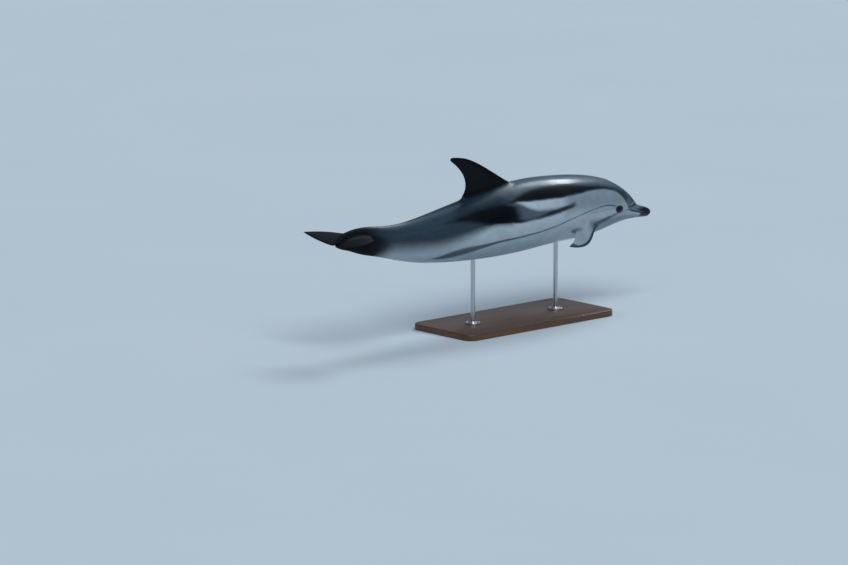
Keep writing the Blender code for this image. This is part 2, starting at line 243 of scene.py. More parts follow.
def plain_skin(t, theta):
    """Points of the straight body: half width times sin^pinch across, back or belly times cos up."""
    top, bottom, wide, middle, pinch = section(t, theta)
    across = wide * np.sign(np.sin(theta)) * np.abs(np.sin(theta)) ** pinch
    up = np.where(np.cos(theta) > 0, top - middle, middle - bottom)
    return np.stack([-t + 0 * across, across, middle + up * np.cos(theta)], -1) * PERCENT


def skin_frame(t, theta):
    """One point of the skin and its three directions: out, forward along the body, and up."""
    step = 0.01
    here = plain_skin(np.array(t), np.array(theta))
    ahead = here - plain_skin(np.array(t + step), np.array(theta))
    around = plain_skin(np.array(t), np.array(theta + step)) - here
    out = np.cross(ahead, around)
    out, ahead = out / np.linalg.norm(out), ahead / np.linalg.norm(ahead)
    return here, out, ahead, np.cross(out, ahead) * np.sign(np.cross(out, ahead)[2] + 1e-9)


def spine_table():
    """Distance along the spine, its pitch, and its x and z, with the snout tip at the origin."""
    step = 0.001
    along = np.arange(-0.2, 1.15 * LENGTH, step)
    pitch = np.radians(spline(SPINE, np.clip(along / PERCENT, SPINE[0, 0], SPINE[-1, 0])))
    x = -np.cumsum(np.cos(pitch)) * step
    z = -np.cumsum(np.sin(pitch)) * step
    start = np.argmin(np.abs(along))
    return along, pitch, x - x[start], z - z[start]


def leap(points):
    """Straight points carried to the bent spine: each section turns with the spine's pitch."""
    along, pitch, x, z = spine_table()
    angle = np.interp(-points[..., 0], along, pitch)
    return np.stack([
        np.interp(-points[..., 0], along, x) - np.sin(angle) * points[..., 2],
        points[..., 1],
        np.interp(-points[..., 0], along, z) + np.cos(angle) * points[..., 2],
    ], -1)


# The frame's eyeball says where the whole animal stands.
EYE_RADIUS = 0.012
EYE_PROUD = 0.0025  # how far the ball stands out of the smooth skin
eye_surface, eye_out, eye_ahead, eye_up = skin_frame(EYE_STATION, EYE_ANGLE)
eye_centre = eye_surface - eye_out * (EYE_RADIUS - EYE_PROUD)
SHIFT = np.mean(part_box("eye_left"), 0) - leap(eye_centre)
print("straight body moved by", SHIFT.round(4))

# %% [markdown]
# ## A grid that is fine where the form is fine
# The trunk is smooth and needs a line every centimetre. The lids, the lips and the blowhole need one
# every millimetre. The rings along the body follow a table of spacings, and the lines round the body
# crowd towards the features they pass, so the whole skin stays one even-tempered grid.

# %% Rings and lines of the grid
# station, and the way from one ring to the next there, both in per cent
RING_SPACING = np.array([
    (0.0, 0.08), (1.6, 0.12), (5.0, 0.12), (6.5, 0.15), (11.0, 0.15), (13.6, 0.11), (14.6, 0.042),
    (16.5, 0.042), (17.4, 0.12), (20.0, 0.32), (24.0, 0.44), (60.0, 0.46), (90.0, 0.44), (99.5, 0.3),
])
HALF_LINES = 96  # from the middle of the back to the middle of the belly, on one side
SKIN_END = 100.0
TAIL_ROUND = 2.6  # the stock closes over this stretch, between the flukes


def bell(x, width):
    """1 at zero and fading on both sides: 0.37 at the width, nearly nothing at twice the width."""
    return np.exp(-((x / width) ** 2))


def plateau(low, rise, fall, high, x):
    """0 outside low..high and 1 between rise and fall."""
    return ease(low, rise, x) * ease(high, fall, x)


def graded(table, start, end):
    """Places from start to end whose spacing follows the table: equal steps of its inverse's sum."""
    fine = np.linspace(start, end, 20001)
    count = np.cumsum(1 / np.interp(fine, table[:, 0], table[:, 1])) * (fine[1] - fine[0])
    return np.interp(np.linspace(count[0], count[-1], int(count[-1]) + 2), count, fine)


def mouth_level(t):
    """Height of the mouth line: just under the beak's middle, rising to its corner."""
    return MOUTH_RISE * ease(5, 12, t) - MOUTH_DROP * snout_rounding(t)


def mouth_angle(t):
    """The angle at which the skin reaches the mouth's level, by repeated substitution."""
    theta = np.full_like(t, np.pi / 2)
    for _ in range(12):
        _, bottom, _, middle, _ = section(t, theta)
        theta = np.arccos(np.clip((mouth_level(t) - middle) / (middle - bottom), -0.95, 0.95))
    return theta


def line_angles(t):
    """Angles of the grid's lines on each ring, mirrored on the two sides.

    Formula: a density of 1 plus a bell at each feature is summed from back to belly, and the lines
    stand at equal shares of that sum.
    """
    fine = np.linspace(0, np.pi, 1441)[None, :]
    t = t[:, None]
    degree = math.radians(1)
    lids_here = plateau(12.8, 14.4, 16.7, 19, t) * bell(fine - EYE_ANGLE, 7 * degree)
    mouth_here = plateau(0, 1, 12.5, 14.5, t) * bell(fine - mouth_angle(t), 6 * degree)
    blowhole_here = plateau(13.5, 15, 17, 19, t) * bell(fine, 6 * degree)
    slits_here = plateau(57, 61, 72, 76, t) * bell(fine - np.pi, 4 * degree)
    density = 1 + 16 * lids_here + 7 * mouth_here + 10 * blowhole_here + 6 * slits_here
    count = np.cumsum(density, 1)
    share = (count - count[:, :1]) / (count[:, -1:] - count[:, :1])
    wanted = np.linspace(0, 1, HALF_LINES + 1)
    half = np.array([np.interp(wanted, row, fine[0]) for row in share])
    return np.concatenate([half, 2 * np.pi - half[:, -2:0:-1]], 1)


def body_grid():
    """Stations, angles and straight points of the skin before its details."""
    tip = SNOUT_ROUND * np.linspace(0.012, 1, 15) ** 2
    t = np.concatenate([tip, graded(RING_SPACING, SNOUT_ROUND, SKIN_END)[1:]])
    theta = line_angles(t)
    t = np.broadcast_to(t[:, None], theta.shape)
    points = plain_skin(t, theta)
    closing = np.clip((t - SKIN_END + TAIL_ROUND) / TAIL_ROUND, 0, 0.9995)
    points[..., 1:] *= np.sqrt(1 - closing**2)[..., None]
    return t, theta, points


def grid_normals(points):
    """Directions out of a closed grid: across its lines times along them."""
    along = np.gradient(points, axis=0)
    around = np.roll(points, -1, 1) - np.roll(points, 1, 1)
    out = np.cross(around, along)
    return out / np.maximum(np.linalg.norm(out, axis=-1, keepdims=True), 1e-12)


stations, angles, straight = body_grid()
outward = grid_normals(straight)
print("skin grid:", straight.shape[:2])

# %% [markdown]
# ## Lids, lips and blowhole
# On a dolphin these are soft folds in one unbroken skin, so they aren't separate pieces. Each is a
# height over the smooth surface, worked out from the distance to a line: the edge of the lids, the
# mouth, the crease over the beak, the crescent of the blowhole. The whole grid then moves along its
# own normals at once. In each sum of bells the heights, places and widths are in millimetres.

# %% Heights over the smooth skin
LID_LENGTH = 0.0108  # half the opening between the lids
LID_HEIGHT = 0.0062  # and half its height
BLOWHOLE_RADIUS = 0.011
BLOWHOLE_TURN = math.radians(75)  # how far the slot runs round to each side


def as_left(points):
    """The points, with those of the right side mirrored to the left."""
    return points * np.array([1, 0, 1]) + np.abs(points) * np.array([0, 1, 0])


def eye_place(points):
    """How far a point is ahead of and above the middle of the eye, on either side of the head."""
    from_eye = as_left(points) - eye_surface
    return from_eye @ eye_ahead, from_eye @ eye_up


def lid_distance(points):
    """Distance outside the lids' edge. The opening is a lens: the overlap of two equal circles."""
    ahead, above = eye_place(points)
    circle = (LID_LENGTH**2 + LID_HEIGHT**2) / (2 * LID_HEIGHT)
    above = np.sqrt(above**2 + (0.8 * MM) ** 2)
    return np.hypot(ahead, above + circle - LID_HEIGHT) - circle


def lids(t, points):
    """A wall down to the eyeball, a rounded rim, a soft lid, a furrow and a low swelling round it."""
    away = lid_distance(points) / MM
    height = -6.5 * ease(0.1, -1.3, away) + 1.5 * bell(away - 0.7, 1.2)
    height += 1.3 * bell(away - 3.2, 2.6) - 0.9 * bell(away - 6.8, 1.0) + 0.9 * bell(away - 9.5, 4.5)
    return height * MM * plateau(12, 13.5, 17.6, 19, t)


def mouth(t, points):
    """A groove along the mouth line with a lip on each side, fading behind its corner."""
    away = (points[..., 2] / PERCENT - mouth_level(t)) * PERCENT / MM
    open_here = ease(GAPE + 1.0, GAPE - 0.4, t)
    groove = -3.2 * bell(away, 1.1) + 0.5 * bell(np.abs(away) - 3.4, 1.8)
    corner = -1.2 * bell(np.hypot(away / 3.0, (t - GAPE - 0.3) * PERCENT / MM / 6), 1)
    return (groove * open_here + corner) * MM


def crease_station(theta):
    """Where the crease between beak and forehead lies: back by 1 - cos of the angle."""
    return CREASE + CREASE_BACK * (1 - np.cos(theta))


def crease(t, theta, points):
    """A soft valley in front of the forehead, from side to side, ending above the mouth."""
    away = (t - crease_station(theta)) * PERCENT / MM
    above_mouth = ease(0.1, 0.7, points[..., 2] / PERCENT - mouth_level(t))
    return (-1.6 * bell(away, 4.0) + 0.9 * bell(away - 11, 8)) * above_mouth * MM


def blowhole(t, points):
    """A crescent slot on the top of the head, its horns towards the snout, in a low mound."""
    ahead = (BLOWHOLE_STATION - t) * PERCENT
    across = np.abs(points[..., 1])
    turn = np.minimum(np.arctan2(across, -ahead), BLOWHOLE_TURN)
    away = np.hypot(ahead + BLOWHOLE_RADIUS * np.cos(turn), across - BLOWHOLE_RADIUS * np.sin(turn))
    slot = -4.5 * bell(away / MM, 1.3) + 0.9 * bell(away / MM - 3.4, 1.8)
    mound = 0.8 * bell(np.hypot(ahead, across) / MM, 24)
    return (slot + mound) * MM * np.where(points[..., 2] > 0, 1, 0) * plateau(13, 14, 18, 19.5, t)


def underside(t, points):
    """Navel and the slits under the tail, along the middle of the belly and beside it."""
    below = np.where(points[..., 2] < 0, 1, 0)
    across = np.abs(points[..., 1]) / MM
    navel = -1.6 * bell(across, 5) * bell(t - 46.5, 0.45)
    middle = -3.0 * bell(across, 1.6) * plateau(61.6, 62.6, 66.0, 67.0, t)
    vent = -3.0 * bell(across, 1.6) * plateau(69.3, 69.9, 70.6, 71.2, t)
    beside = -1.8 * bell(across - 24, 1.6) * plateau(63.2, 63.9, 65.0, 65.7, t)
    lip = 0.8 * bell(across - 5, 3.0) * plateau(61.0, 62.2, 66.4, 67.6, t)
    return (navel + middle + vent + beside + lip) * MM * below


folded = np.minimum(angles, 2 * np.pi - angles)
height = lids(stations, straight) + mouth(stations, straight) + crease(stations, folded, straight)
height += blowhole(stations, straight) + underside(stations, straight)
detailed = straight + outward * height[..., None]
print("heights over the skin, mm:", (height.min() / MM).round(2), "to", (height.max() / MM).round(2))

# %% [markdown]
# ## Fins
# A fin is a foil: the same rounded, tapering section carried from root to tip while its front and
# rear edges follow two curves. Where it leaves the body a real fin is faired in, with no corner. So
# each point near the body moves out along the foil's own normal, by more the nearer it is, in the
# arc of a circle that ends almost flat on the skin.

# %% Foils and their fairing
DORSAL_STATION = 45.0  # front of the fin's root, per cent
DORSAL_BASE = 8.75  # level from which its height counts, per cent above the body's middle
DORSAL_HEIGHT = 0.19
FLIPPER_STATION = 23.0
FLIPPER_ANGLE = math.radians(128.5)  # down from the middle of the back
FLIPPER_SPAN = 0.233
FLIPPER_SWEEP = math.radians(36.5)  # back from straight out
FLIPPER_DROOP = math.radians(43)  # down from level
FLIPPER_TWIST = math.radians(-3)  # about its own length
FLUKE_SPAN = 0.216  # from the tail's middle to one tip
FLUKE_NOTCH = 100.0  # per cent
FLUKE_CHORD = 0.216  # along the middle, from the leading edge to the notch
FLUKE_RISE = 0.037  # of each tip above the middle
TIP_START = 0.90  # share of the span where a fin's rounded tip starts
TIP_LENGTH = 0.10
TIP_CLOSED = 0.1001  # a hair longer than the tip, so the last ring keeps a little size


def unit(vectors):
    """The vectors brought to a length of 1."""
    return vectors / np.maximum(np.linalg.norm(vectors, axis=-1, keepdims=True), 1e-12)


def above_skin(points):
    """Height over the straight body, along the ray from the section's middle.

    Formula: (|y| / width)^(2 / pinch) + (z / back or belly)^2 is 1 on the skin, and its root says
    how many times further out the point is.
    """
    t = np.clip(-points[..., 0] / PERCENT, 0.05, SKIN_END)
    top, bottom, wide, middle, pinch = section(t, np.pi / 2 + 0 * t)
    across = np.abs(points[..., 1]) / PERCENT
    up = points[..., 2] / PERCENT - middle
    half = np.where(up > 0, top - middle, middle - bottom)
    times = np.sqrt((across / wide) ** (2 / pinch) + (up / half) ** 2)
    return (1 - 1 / np.maximum(times, 1e-6)) * np.hypot(across, up) * PERCENT


def foil(lead, trail, thickness, place, spans, points=64):
    """Rings of a fin: (1 - cos) steps along the chord, sin^0.9 high, thinning towards the rear.

    lead, trail and thickness are functions of the span, 0 at the root and 1 at the tip, where the
    chord closes as an ellipse. place puts (chord, span, lift) in the straight body.
    """
    span = np.asarray(spans)[:, None]
    turn = full_turn(points)[None, :]
    along = (1 - np.cos(turn)) / 2
    front, rear = lead(span), trail(span)
    shut = np.sqrt(1 - np.clip((np.abs(span) - TIP_START) / TIP_CLOSED, 0, 1) ** 2)
    centre, chord = (front + rear) / 2, (rear - front) * shut
    lift = np.sign(np.sin(turn)) * np.abs(np.sin(turn)) ** 0.9 * (1 - 0.45 * along)
    thick = thickness(span) * shut**0.6
    return place(centre + chord * (along - 0.5), span + 0 * along, lift * thick / 2)


def fair(rings, side, front, rear, strength=1.0):
    """Foil rings moved out near the body in the arc of a circle. Its radius is side along the fin's
    faces, front at its leading edge and rear at its trailing edge.

    Formula: out by r - sqrt(r^2 - (r - h)^2), h the height over the skin, held above r / 9.
    """
    chord_way = unit(rings[:, rings.shape[1] // 2] - rings[:, 0])[:, None]
    around = np.roll(rings, -1, 1) - np.roll(rings, 1, 1)
    span_way = unit(np.gradient(rings.mean(1), axis=0))[:, None]
    out = unit(np.cross(around, span_way))
    out *= np.sign(np.sum(out * (rings - rings.mean(1, keepdims=True)), -1, keepdims=True))
    endwise = np.sum(out * chord_way, -1)
    radius = side + (np.where(endwise > 0, rear, front) - side) * endwise**2
    high = np.clip(above_skin(rings), radius / 9, radius)
    arc = radius - np.sqrt(radius**2 - (radius - high) ** 2)
    return rings + out * (arc * strength)[..., None]


def spans_to_tip(low, steps, tip_steps=12):
    """Even steps from the buried root, then the crowded steps of an arc to the tip."""
    arc = TIP_START + TIP_LENGTH * np.sin(np.linspace(0, 0.985 * np.pi / 2, tip_steps))
    return np.concatenate([np.linspace(low, TIP_START, steps), arc[1:]])


# %% Fin on the back
def dorsal():
    """A tall hooked fin: the leading edge bows back as span^7, the trailing edge as a parabola."""

    def lead(v):
        """Front edge: straight, then bowed back as the seventh power of the span."""
        return 0.278 * v + 0.063 * np.clip(v, 0, 1) ** 7

    def trail(v):
        """Rear edge: a parabola, hollow towards the tail."""
        return 0.296 + 0.221 * (v - 0.263) ** 2

    def thickness(v):
        """38 mm at the root before the foil's own taper, less as the span's rest to the power 0.8."""
        return 0.032 * np.clip(1 - v, 0, 1) ** 0.8 + 0.006

    def place(chord, span, lift):
        """Chord aft, lift sideways and span up."""
        height = DORSAL_BASE * PERCENT + span * DORSAL_HEIGHT
        return np.stack([-DORSAL_STATION * PERCENT - chord, lift, height], -1)

    rings = foil(lead, trail, thickness, place, spans_to_tip(-0.28, 58))
    return fair(rings, side=0.026, front=0.024, rear=0.070)


fins = [dorsal()]
print("fin on the back:", fins[0].shape[:2], "rings and points")

# %% Flippers
flipper_root, _, _, _ = skin_frame(FLIPPER_STATION, FLIPPER_ANGLE)
aft = np.array([-1.0, 0, 0])
sideways = np.array([0, math.cos(FLIPPER_DROOP), -math.sin(FLIPPER_DROOP)])
flipper_span = math.cos(FLIPPER_SWEEP) * sideways + math.sin(FLIPPER_SWEEP) * aft
flipper_chord = math.cos(FLIPPER_SWEEP) * aft - math.sin(FLIPPER_SWEEP) * sideways
flipper_lift = np.cross(flipper_span, flipper_chord)
flipper_chord = math.cos(FLIPPER_TWIST) * flipper_chord - math.sin(FLIPPER_TWIST) * flipper_lift
flipper_lift = np.cross(flipper_span, flipper_chord)


def flipper_lead(v):
    """Place of the front edge along the chord: almost straight, then swept back towards the tip."""
    return 0.040 * v + 0.101 * np.clip(v, 0, 1) ** 4.7


def flipper_trail(v):
    """Place of the rear edge: slightly hollow, then swept back with the front one."""
    return 0.115 + 0.038 * np.clip(v, 0, 1) ** 5.1 - 0.004 * np.sin(np.pi * v)


def flipper(side):
    """A sickle: both edges sweep back as high powers of the span. side is 1 left, -1 right."""

    def thickness(v):
        """30 mm at the root before the foil's own taper, less as the span's rest to the power 0.8."""
        return 0.024 * np.clip(1 - v, 0, 1) ** 0.8 + 0.006

    def place(chord, span, lift):
        """From the root along the flipper's own three directions."""
        point = flipper_root + chord[..., None] * flipper_chord + lift[..., None] * flipper_lift
        return point + (span * FLIPPER_SPAN)[..., None] * flipper_span

    rings = foil(flipper_lead, flipper_trail, thickness, place, spans_to_tip(-0.24, 56), 56)
    return fair(rings, side=0.018, front=0.022, rear=0.022) * np.array([1, side, 1])


fins += [flipper(1), flipper(-1)]
print("each flipper:", fins[1].shape[:2])

# %% Flukes
def flukes():
    """Both flukes as one wing, tip to tip, with the notch as a dip in its rear edge.

    Formula: the leading edge is straight and then sweeps back with the span's cube; the wing's
    middle line rises with the span to the power 1.7.
    """
    notch = FLUKE_NOTCH * PERCENT

    def lead(v):
        """Front edge: so far before the notch, less with the span and with its cube."""
        v = np.abs(v)
        return notch - FLUKE_CHORD * (1 - 0.55 * v - 0.45 * v**3)

    def trail(v):
        """Rear edge: straight, with a bell cut into its middle."""
        return notch + 0.004 - 0.014 * np.exp(-(v / 0.06) ** 2)

    def thickness(v):
        """39 mm in the middle before the foil's own taper, less as the span's rest to the power 0.9."""
        return 0.034 * np.clip(1 - np.abs(v), 0, 1) ** 0.9 + 0.005

    def place(chord, span, lift):
        """Chord aft, span sideways, lift up from a middle line that curves upwards."""
        return np.stack([-chord, span * FLUKE_SPAN, lift + FLUKE_RISE * np.abs(span) ** 1.7], -1)

    half = spans_to_tip(0.0, 60)
    rings = foil(lead, trail, thickness, place, np.concatenate([-half[:0:-1], half]), 56)
    fading = ease(SKIN_END, SKIN_END - 5, -rings[..., 0] / PERCENT)
    return fair(rings, side=0.016, front=0.020, rear=0.020, strength=fading)


fins.append(flukes())
print("flukes, tip to tip:", fins[-1].shape[:2])

# %% [markdown]
# ## One skin
# The fins run a little way into the body, and an exact Boolean union joins them. Its cut edge is
# still a faint crease, so the points close to it are drawn to the mean of their neighbours, again
# and again, as fingers would smooth clay. The pull fades out a few centimetres away and leaves the
# head alone.

# %% Union and smoothing
SPREAD_ROUNDS = 9  # how many points away from the seam the pull still acts
SMOOTHING_ROUNDS = 30


def joined(body, foils):
    """The union of the body and its fins as one object of triangles. Its faces keep a material of
    the body's or the fins' own, which tells later where the two meet."""
    materials = [bpy.data.materials.new(name) for name in ("body side", "fin side")]
    whole = new_object("skin", body.reshape(-1, 3), tube_faces(*body.shape[:2]))
    whole.data.materials.append(materials[0])
    points, faces, start = [], [], 0
    for rings in foils:
        points.append(rings.reshape(-1, 3))
        faces += [tuple(start + i for i in face) for face in tube_faces(*rings.shape[:2])]
        start += len(points[-1])
    extra = new_object("fins", np.concatenate(points), faces)
    extra.data.materials.append(materials[1])
    for item in (whole, extra):
        shape = bmesh.new()
        shape.from_mesh(item.data)
        bmesh.ops.recalc_face_normals(shape, faces=shape.faces)
        shape.to_mesh(item.data)
        shape.free()
    step = whole.modifiers.new("fins on", "BOOLEAN")
    step.operation = "UNION"
    step.solver = "EXACT"
    step.object = extra
    step.material_mode = "TRANSFER"
    merged = whole.evaluated_get(bpy.context.evaluated_depsgraph_get())
    shape = bmesh.new()
    shape.from_mesh(merged.to_mesh())
    merged.to_mesh_clear()
    bmesh.ops.triangulate(shape, faces=shape.faces, quad_method="SHORT_EDGE")
    whole.modifiers.clear()
    shape.to_mesh(whole.data)
    shape.free()
    bpy.data.objects.remove(extra, do_unlink=True)
    return whole


def get_all(collection, name, width, kind=np.float32):
    """One property of every vertex, edge or face at once, as an array with width columns."""
    values = np.empty(len(collection) * width, kind)
    collection.foreach_get(name, values)
    return values.reshape(-1, width) if width > 1 else values


def neighbour_mean(values, edges):
    """The mean of each point's neighbours, summed over the edges from both ends."""
    count = np.bincount(edges.ravel(), minlength=len(values)).clip(1)
    total = [
        np.bincount(edges[:, 0], column[edges[:, 1]], len(values))
        + np.bincount(edges[:, 1], column[edges[:, 0]], len(values))
        for column in values.reshape(len(values), -1).T
    ]
    return (np.stack(total, -1) / count[:, None]).reshape(values.shape)


skin = joined(detailed, fins)
points = get_all(skin.data.vertices, "co", 3).astype(float)
edges = get_all(skin.data.edges, "vertices", 2, np.int32)
made_of = get_all(skin.data.polygons, "material_index", 1, np.int32)
corners = get_all(skin.data.polygons, "vertices", 3, np.int32)
on_fin = np.bincount(corners.ravel(), np.repeat(made_of, 3), len(points))
on_fin /= np.bincount(corners.ravel(), minlength=len(points)).clip(1)
seam = ((on_fin > 0.01) & (on_fin < 0.99)).astype(float)
pull = seam
for _ in range(SPREAD_ROUNDS):
    pull = np.maximum(seam, neighbour_mean(pull, edges))
pull = ease(0.02, 0.45, pull)[:, None]
for _ in range(SMOOTHING_ROUNDS):
    points += pull * (neighbour_mean(points, edges) - points)
print("skin:", len(points), "points,", len(corners), "triangles,", int(seam.sum()), "on the seam")

# %% [markdown]
# ## Where the markings lie
# A striped dolphin is named for its pattern. A dark cape covers the back. Along its middle it is
# painted a lighter grey, a painted sheen where the wet back mirrors the sky, and where it meets the
# flank it is painted almost black, a painted dark reflection over the cape's own dark grey. A pale
# blaze runs up into it from the shoulder, over a dark tongue and the patch below the fin, whose dark
# grey is painted near black as a dark reflection, and behind them the whole upper side is dark. A
# thin stripe goes from the eye to the vent, and a broader band from the eye to the flipper.
# Markings are known by their edges, so each one is kept at every point of the skin as a distance, in
# millimetres, inside its edge. A shader can then draw the edge sharp or soft, finer than the mesh.

# %% Station and angle of every point
def station_and_angle(points):
    """Undoes the section formula: the angle whose sine and cosine give the point's y and z."""
    t = np.clip(-points[:, 0] / PERCENT, 0.05, 99)
    theta = np.arctan2(np.abs(points[:, 1]), points[:, 2])
    for _ in range(8):
        top, bottom, wide, middle, pinch = section(np.minimum(t, 98), theta)
        up = points[:, 2] / PERCENT - middle
        across = np.abs(points[:, 1]) / PERCENT / wide
        theta = np.arctan2(across ** (1 / pinch), up / np.where(up > 0, top - middle, middle - bottom))
    radius = np.hypot(points[:, 1], points[:, 2] - middle * PERCENT)
    return t, theta, radius


t, theta, radius = station_and_angle(points)
phi = np.degrees(theta)
mm_per_degree = np.clip(radius, 0.01, 0.16) * math.radians(1) / MM
mm_per_percent = PERCENT / MM
skin_height = above_skin(points) / MM
print("angles from", phi.min().round(1), "to", phi.max().round(1))

# %% Edges of the markings, as (station, degrees down from the middle of the back)
CAPE_EDGE = np.array([
    (0, 95), (8, 92), (11, 87), (13, 71), (14.5, 59), (16.5, 51), (20, 50), (25, 52), (30, 58),
    (36, 61), (41, 59), (45, 57), (48, 52), (52, 50), (100, 50),
])
# lower edge of the painted sheen on the back, and upper edge of the dark band painted below it
SHEEN_EDGE = np.array([
    (0, 40), (12, 43), (17, 45), (22, 43), (27, 42), (32, 37), (36, 34), (42, 34), (45, 37),
    (47, 40), (49, 44), (52, 50), (56, 70),
])
TONGUE_TOP = np.array([
    (0, 79), (32, 78), (36, 76), (40, 75.5), (44, 73), (46.5, 64), (48.5, 52), (50.2, 46), (52, 30),
    (100, 30),
])
SIDE_EDGE = np.array([
    (0, 20), (28, 60), (32, 78.5), (35, 82), (38, 85), (43, 87), (49, 86.5), (53, 82), (57, 77.5),
    (62, 82), (66, 88.5), (72, 97), (77, 99), (83, 103), (86, 116), (88, 136), (90, 170), (100, 190),
])
VENT_STRIPE = np.array([
    (17, 85.2), (19, 82.6), (21, 82), (24, 85.5), (28, 91), (33, 99), (37.5, 106), (43, 110.5),
    (49, 112), (55, 112.5), (60, 117), (64, 122), (67, 128), (71, 139), (76, 150),
])
STRIPE_HALF = np.array([
    (16, 0.4), (18, 1.3), (20.5, 1.2), (25, 0.9), (35, 1.2), (43, 1.3), (50, 1.6), (56, 2.4),
    (61, 5), (65, 9), (69, 9), (72, 2), (76, -8),
])
LACE = np.array([(16.5, 86), (18, 87.6), (20.5, 90), (23, 92.3), (27, 95.5), (30, 98)])
BAND_TOP = np.array([
    (12, 99), (15.5, 100), (17, 102.5), (18.5, 105), (20.5, 108.5), (22, 111), (24, 114), (27, 118),
])
BAND_FOOT = np.array([
    (12, 101), (15.5, 104), (17, 108), (18.5, 113), (20.5, 118), (22, 122), (24, 126), (27, 130),
])
PATCH_TOP = np.array([(48, 64), (50, 54), (52, 48), (55, 44), (60, 43), (64, 46), (68, 50), (72, 58)])
PATCH_FOOT = np.array([(48, 88), (52, 86), (56, 82), (59, 76), (62, 66), (65, 60), (68, 56), (72, 50)])
ELSEWHERE = -40  # a head marking's value, in mm, where it can't be
OFF_FIN = -60  # and a fin marking's


def edge(table, t):
    """A smooth edge through a few points: their straight-line course averaged over a short way."""
    reach = np.linspace(-1.2, 1.2, 7)
    return sum(np.interp(t + step, table[:, 0], table[:, 1]) for step in reach) / len(reach)


def inside_line(table, half, t):
    """Millimetres inside a stripe that is half degrees to each side of its middle line."""
    return (half - np.abs(phi - edge(table, t))) * mm_per_degree


def within(low, high, t):
    """Per cent of length inside a stretch of stations. Times mm_per_percent it is a true distance;
    times a smaller number, the marking fades out over a longer way at the stretch's ends."""
    return np.minimum(t - low, high - t)


dark_side = (edge(SIDE_EDGE, t) - phi) * mm_per_degree
cape = (edge(CAPE_EDGE, t) - phi) * mm_per_degree
# painted sheen: the middle of the dark cape painted lighter grey, where the wet back mirrors the sky
saddle_sheen = (edge(SHEEN_EDGE, t) - phi) * mm_per_degree
saddle_sheen = np.minimum(saddle_sheen, within(11, 50, t) * 5)
# the cape's own dark grey painted almost black below the painted sheen: a painted dark reflection
cape_dark_reflection = np.minimum((phi - edge(SHEEN_EDGE, t)) * mm_per_degree, cape)
cape_dark_reflection = np.minimum(cape_dark_reflection, within(17, 53, t) * 9)
tongue = np.minimum(dark_side, (phi - edge(TONGUE_TOP, t)) * mm_per_degree)
tongue = np.minimum(tongue, (58 - t) * mm_per_percent)
rear = np.minimum(dark_side * (1 - 0.5 * ease(54, 66, t)), (t - 52) * mm_per_percent)
# painted sheen: the top of the tail stock painted lighter, where the wet skin mirrors the sky
rear_top_sheen = np.minimum(within(66, 90, t) * 8, (62 - phi) * mm_per_degree)
streak = np.minimum(dark_side, 18 - 9 * ease(39, 45, t) - dark_side)
streak = np.minimum(streak, within(32, 51, t) * 7)
shoulder = np.minimum(94 - phi, 106 - np.abs(t - 22) * 8) * mm_per_degree
# painted shade: the pale throat and chest under the head painted darker grey
shaded_throat = np.minimum((phi - 104) * mm_per_degree, (27 - t) * mm_per_percent)
stripe = inside_line(VENT_STRIPE, edge(STRIPE_HALF, t), t)
stripe = np.minimum(stripe, (t - 17.0) * mm_per_percent) * (1 - 0.75 * ease(56, 64, t))
lace = inside_line(LACE, 0.8 * plateau(17, 18, 26, 28, t), t)
band = np.minimum(phi - edge(BAND_TOP, t), edge(BAND_FOOT, t) - phi) * mm_per_degree
band = np.minimum(band, within(12.5, 25.5, t) * mm_per_percent)
band_line = 2.6 * ease(13, 18, t) - np.abs(phi - edge(BAND_TOP, t)) * mm_per_degree
band_line = np.minimum(band_line, within(12.5, 24.5, t) * mm_per_percent)
# the side's own dark grey, painted near black below the fin as a painted dark reflection
patch = np.minimum(edge(PATCH_FOOT, t) - phi, phi - edge(PATCH_TOP, t)) * mm_per_degree
patch = np.minimum(np.minimum(patch, (t - 49) * 9), 4 * dark_side)
# painted shade: the white underside painted grey, as shaded from above
belly = (phi - 104) * mm_per_degree
# painted shade behind the flipper's root, where the flipper shades the body
armpit_shade = 14 - np.hypot((t - 30.2) * mm_per_percent / 2.4, (phi - 125) * mm_per_degree)
print("inside the cape:", int((cape > 0).sum()), "of", len(cape), "points")

# %% Head, fins and tail
ahead, above = eye_place(points)
eye_patch = 17 - np.hypot((ahead / MM + 3) / 1.9, above / MM + 0.5)
level = (points[:, 2] / PERCENT - mouth_level(t)) * mm_per_percent
lips = 4.2 * plateau(0.5, 4.5, 8.5, 10.5, t) - 1 - np.abs(level + 0.5)
lips = np.where(t < GAPE + 1, lips, ELSEWHERE)
tip = np.maximum(0.9 - t, 0.6 - np.hypot((t - 2.4) / 6.0, (level - 12) / 24)) * mm_per_percent
from_crease = (t - crease_station(theta)) * mm_per_percent
fading = 9 * ease(50, 80, phi)
# painted shade in the crease between beak and forehead
crease_shade = np.where(level > 3, 5.5 - np.abs(from_crease) - fading, ELSEWHERE)
# painted highlight: a pale line on the forehead's rounded edge just behind the crease
crease_rim_highlight = np.where(level > 3, 6 - np.abs(from_crease - 15) - fading, ELSEWHERE)
jaw_edge = np.minimum((4.9 - t) * 9, (phi - 97) * mm_per_degree)
jaw_edge = np.where(t < 8, jaw_edge, ELSEWHERE)
# painted sheen: the dark upper beak painted lighter grey, as its wet top mirrors the light
beak_sheen = within(3.6, crease_station(theta), t) * mm_per_percent
beak_sheen = np.where(t < BEAK_GONE, np.minimum(beak_sheen, level), ELSEWHERE)
blush = 8 - np.hypot((t - 3.2) * mm_per_percent / 3.5, level + 5)
from_root = as_left(points) - flipper_root
span = from_root @ flipper_span / FLIPPER_SPAN
chord = from_root @ flipper_chord
lift = from_root @ flipper_lift
on_flipper = (t > 20) & (t < 40) & (span > -0.1) & (np.abs(lift) < 0.03) & (skin_height > 1)
